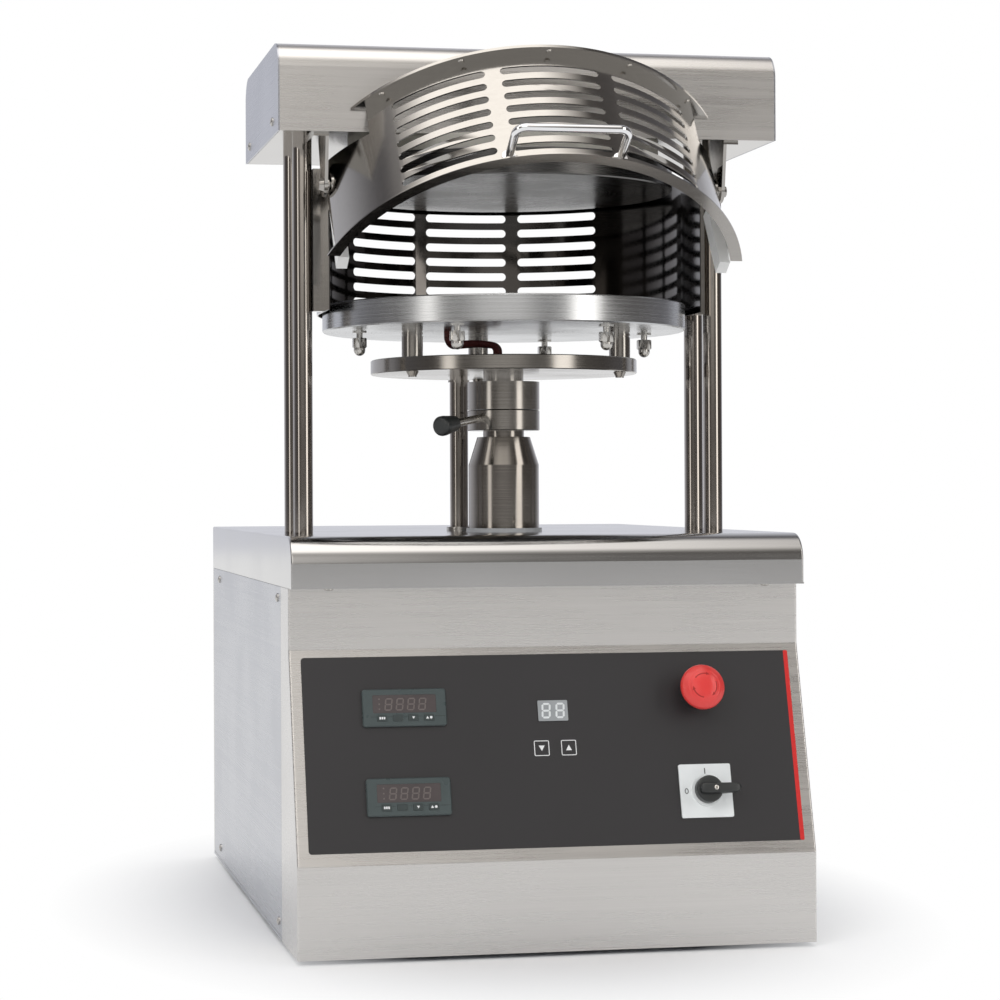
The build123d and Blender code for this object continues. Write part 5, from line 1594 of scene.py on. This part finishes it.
@dataclass
class Lift:
    """The ram, the adjusting ring with its lever, the disc, the posts and the lower platen."""

    nut_circle: float = 0.141
    nut_flats: float = 0.0065
    nut_tip: float = -0.0235
    cap_z: float = -0.0178
    cap_half: tuple[float, float] = (0.0056, 0.0057)
    nut_body: tuple[tuple[float, float], ...] = (
        (0.0056, -0.0160), (0.0062, -0.0158), (0.0074, -0.0150), (0.0074, -0.0070),
        (0.0066, -0.0064), (0.0031, -0.0062), (0.0031, -0.0016), (0.0072, -0.0015),
        (0.0072, 0.0), (0.0, 0.0),
    )
    platen_under: float = 0.5585

    def build(self) -> None:
        """Dresses the rising group and makes the levelling nuts."""
        dress(PLATEN, "lower_platen")
        dress(TURNED, "ram_disc", "spacer_posts", "adjuster_ring")
        dress(TURNED_RAM, "ram")
        dress(ROD, "guide_rod")
        dress(SMALL_STEEL, "guide_bush", "adjuster_lever")
        dress(BLACK, "lever_grip")
        dress(SLEEVE, "heater_leads")
        self.nuts()

    def nuts(self) -> None:
        """Six studs, each with a washer, a hexagon and a domed cap hanging under the platen."""
        angle = np.linspace(QUARTER_TURN, 0.0, 9)[1:]
        wide, high = self.cap_half
        cap = np.column_stack([wide * np.cos(angle), self.cap_z - high * np.sin(angle)])
        profile = np.concatenate([[(0.0, self.nut_tip)], cap, self.nut_body])
        nut = turned(profile, 48, 6, self.nut_flats)
        shape = Shape()
        for n in range(6):
            angle = math.radians(60.0 * n)
            x = self.nut_circle * math.cos(angle)
            y = PLATEN_AXIS[1] + self.nut_circle * math.sin(angle)
            shape.put(nut, Place((x, y, self.platen_under)))
        shape.piece("levelling_cap_nuts", SMALL_STEEL, "platens", ["levelling_nuts"], sharp=30.0)


@dataclass
class Guards:
    """The fixed rear bay, its rails, and the lifted bay with its handle, buffers and struts."""

    handle_half: float = 0.050
    handle_root: float = -0.1308
    handle_front: float = -0.1701
    handle_up: float = -0.0785
    bend: float = 0.009
    wire: float = 0.00375
    collar: float = 0.0062
    collar_length: float = 0.0025
    collar_step: float = 0.0002

    def build(self) -> None:
        """Dresses the bays and makes the handle."""
        dress(GUARD_SHEET, "moving_guard", "guard_strut_left", "guard_strut_right", "guard_rails")
        dress(BAY_SHEET, "fixed_guard")
        dress(WHITE, "guard_buffers")
        self.handle()

    def handle(self) -> None:
        """A chromed wire bent twice at right angles, with a collar where each leg meets the guard.

        Each leg and the bar are straight, and each bend is a quarter circle between them.
        """
        quarter = np.linspace(0.0, QUARTER_TURN, 12)
        x, front, b = self.handle_half, self.handle_front, self.bend
        first = np.column_stack([-x + b - b * np.cos(quarter), front + b - b * np.sin(quarter)])
        second = np.column_stack([x - b + b * np.sin(quarter), front + b - b * np.cos(quarter)])
        run = np.array([0.0, self.collar_length, self.collar_length + self.collar_step])
        leg = self.handle_root - run
        left = np.column_stack([np.full(3, -x), leg])
        right = np.column_stack([np.full(3, x), leg[::-1]])
        flat = np.concatenate([left, first, second, right])
        turn = np.concatenate([np.zeros(3), quarter, quarter + QUARTER_TURN, np.full(3, math.pi)])
        path = np.column_stack([flat, np.full(len(flat), self.handle_up)])
        tangent = np.column_stack([np.sin(turn), -np.cos(turn), np.zeros(len(turn))])
        radius = np.full(len(flat), self.wire)
        radius[[0, 1, -2, -1]] = self.collar
        wire = carried(path, tangent, np.array([0.0, 0.0, 1.0]), radius, 28)
        Shape().put(wire, GUARD).piece(
            "guard_grip", CHROME, "guard", ["guard_handle"], sharp=50.0
        )


def main() -> None:
    """Builds the studio and the sub-assemblies in order."""
    logging.basicConfig(level=logging.INFO, format="%(name)s: %(message)s")
    bpy.context.scene.view_settings.view_transform = "Standard"
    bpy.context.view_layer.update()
    for part in (Studio(), Housing(), Controls(), Portal(), Lift(), Guards()):
        part.build()
        LOG.info("%s is done", type(part).__name__)


if __name__ == "__main__":
    main()
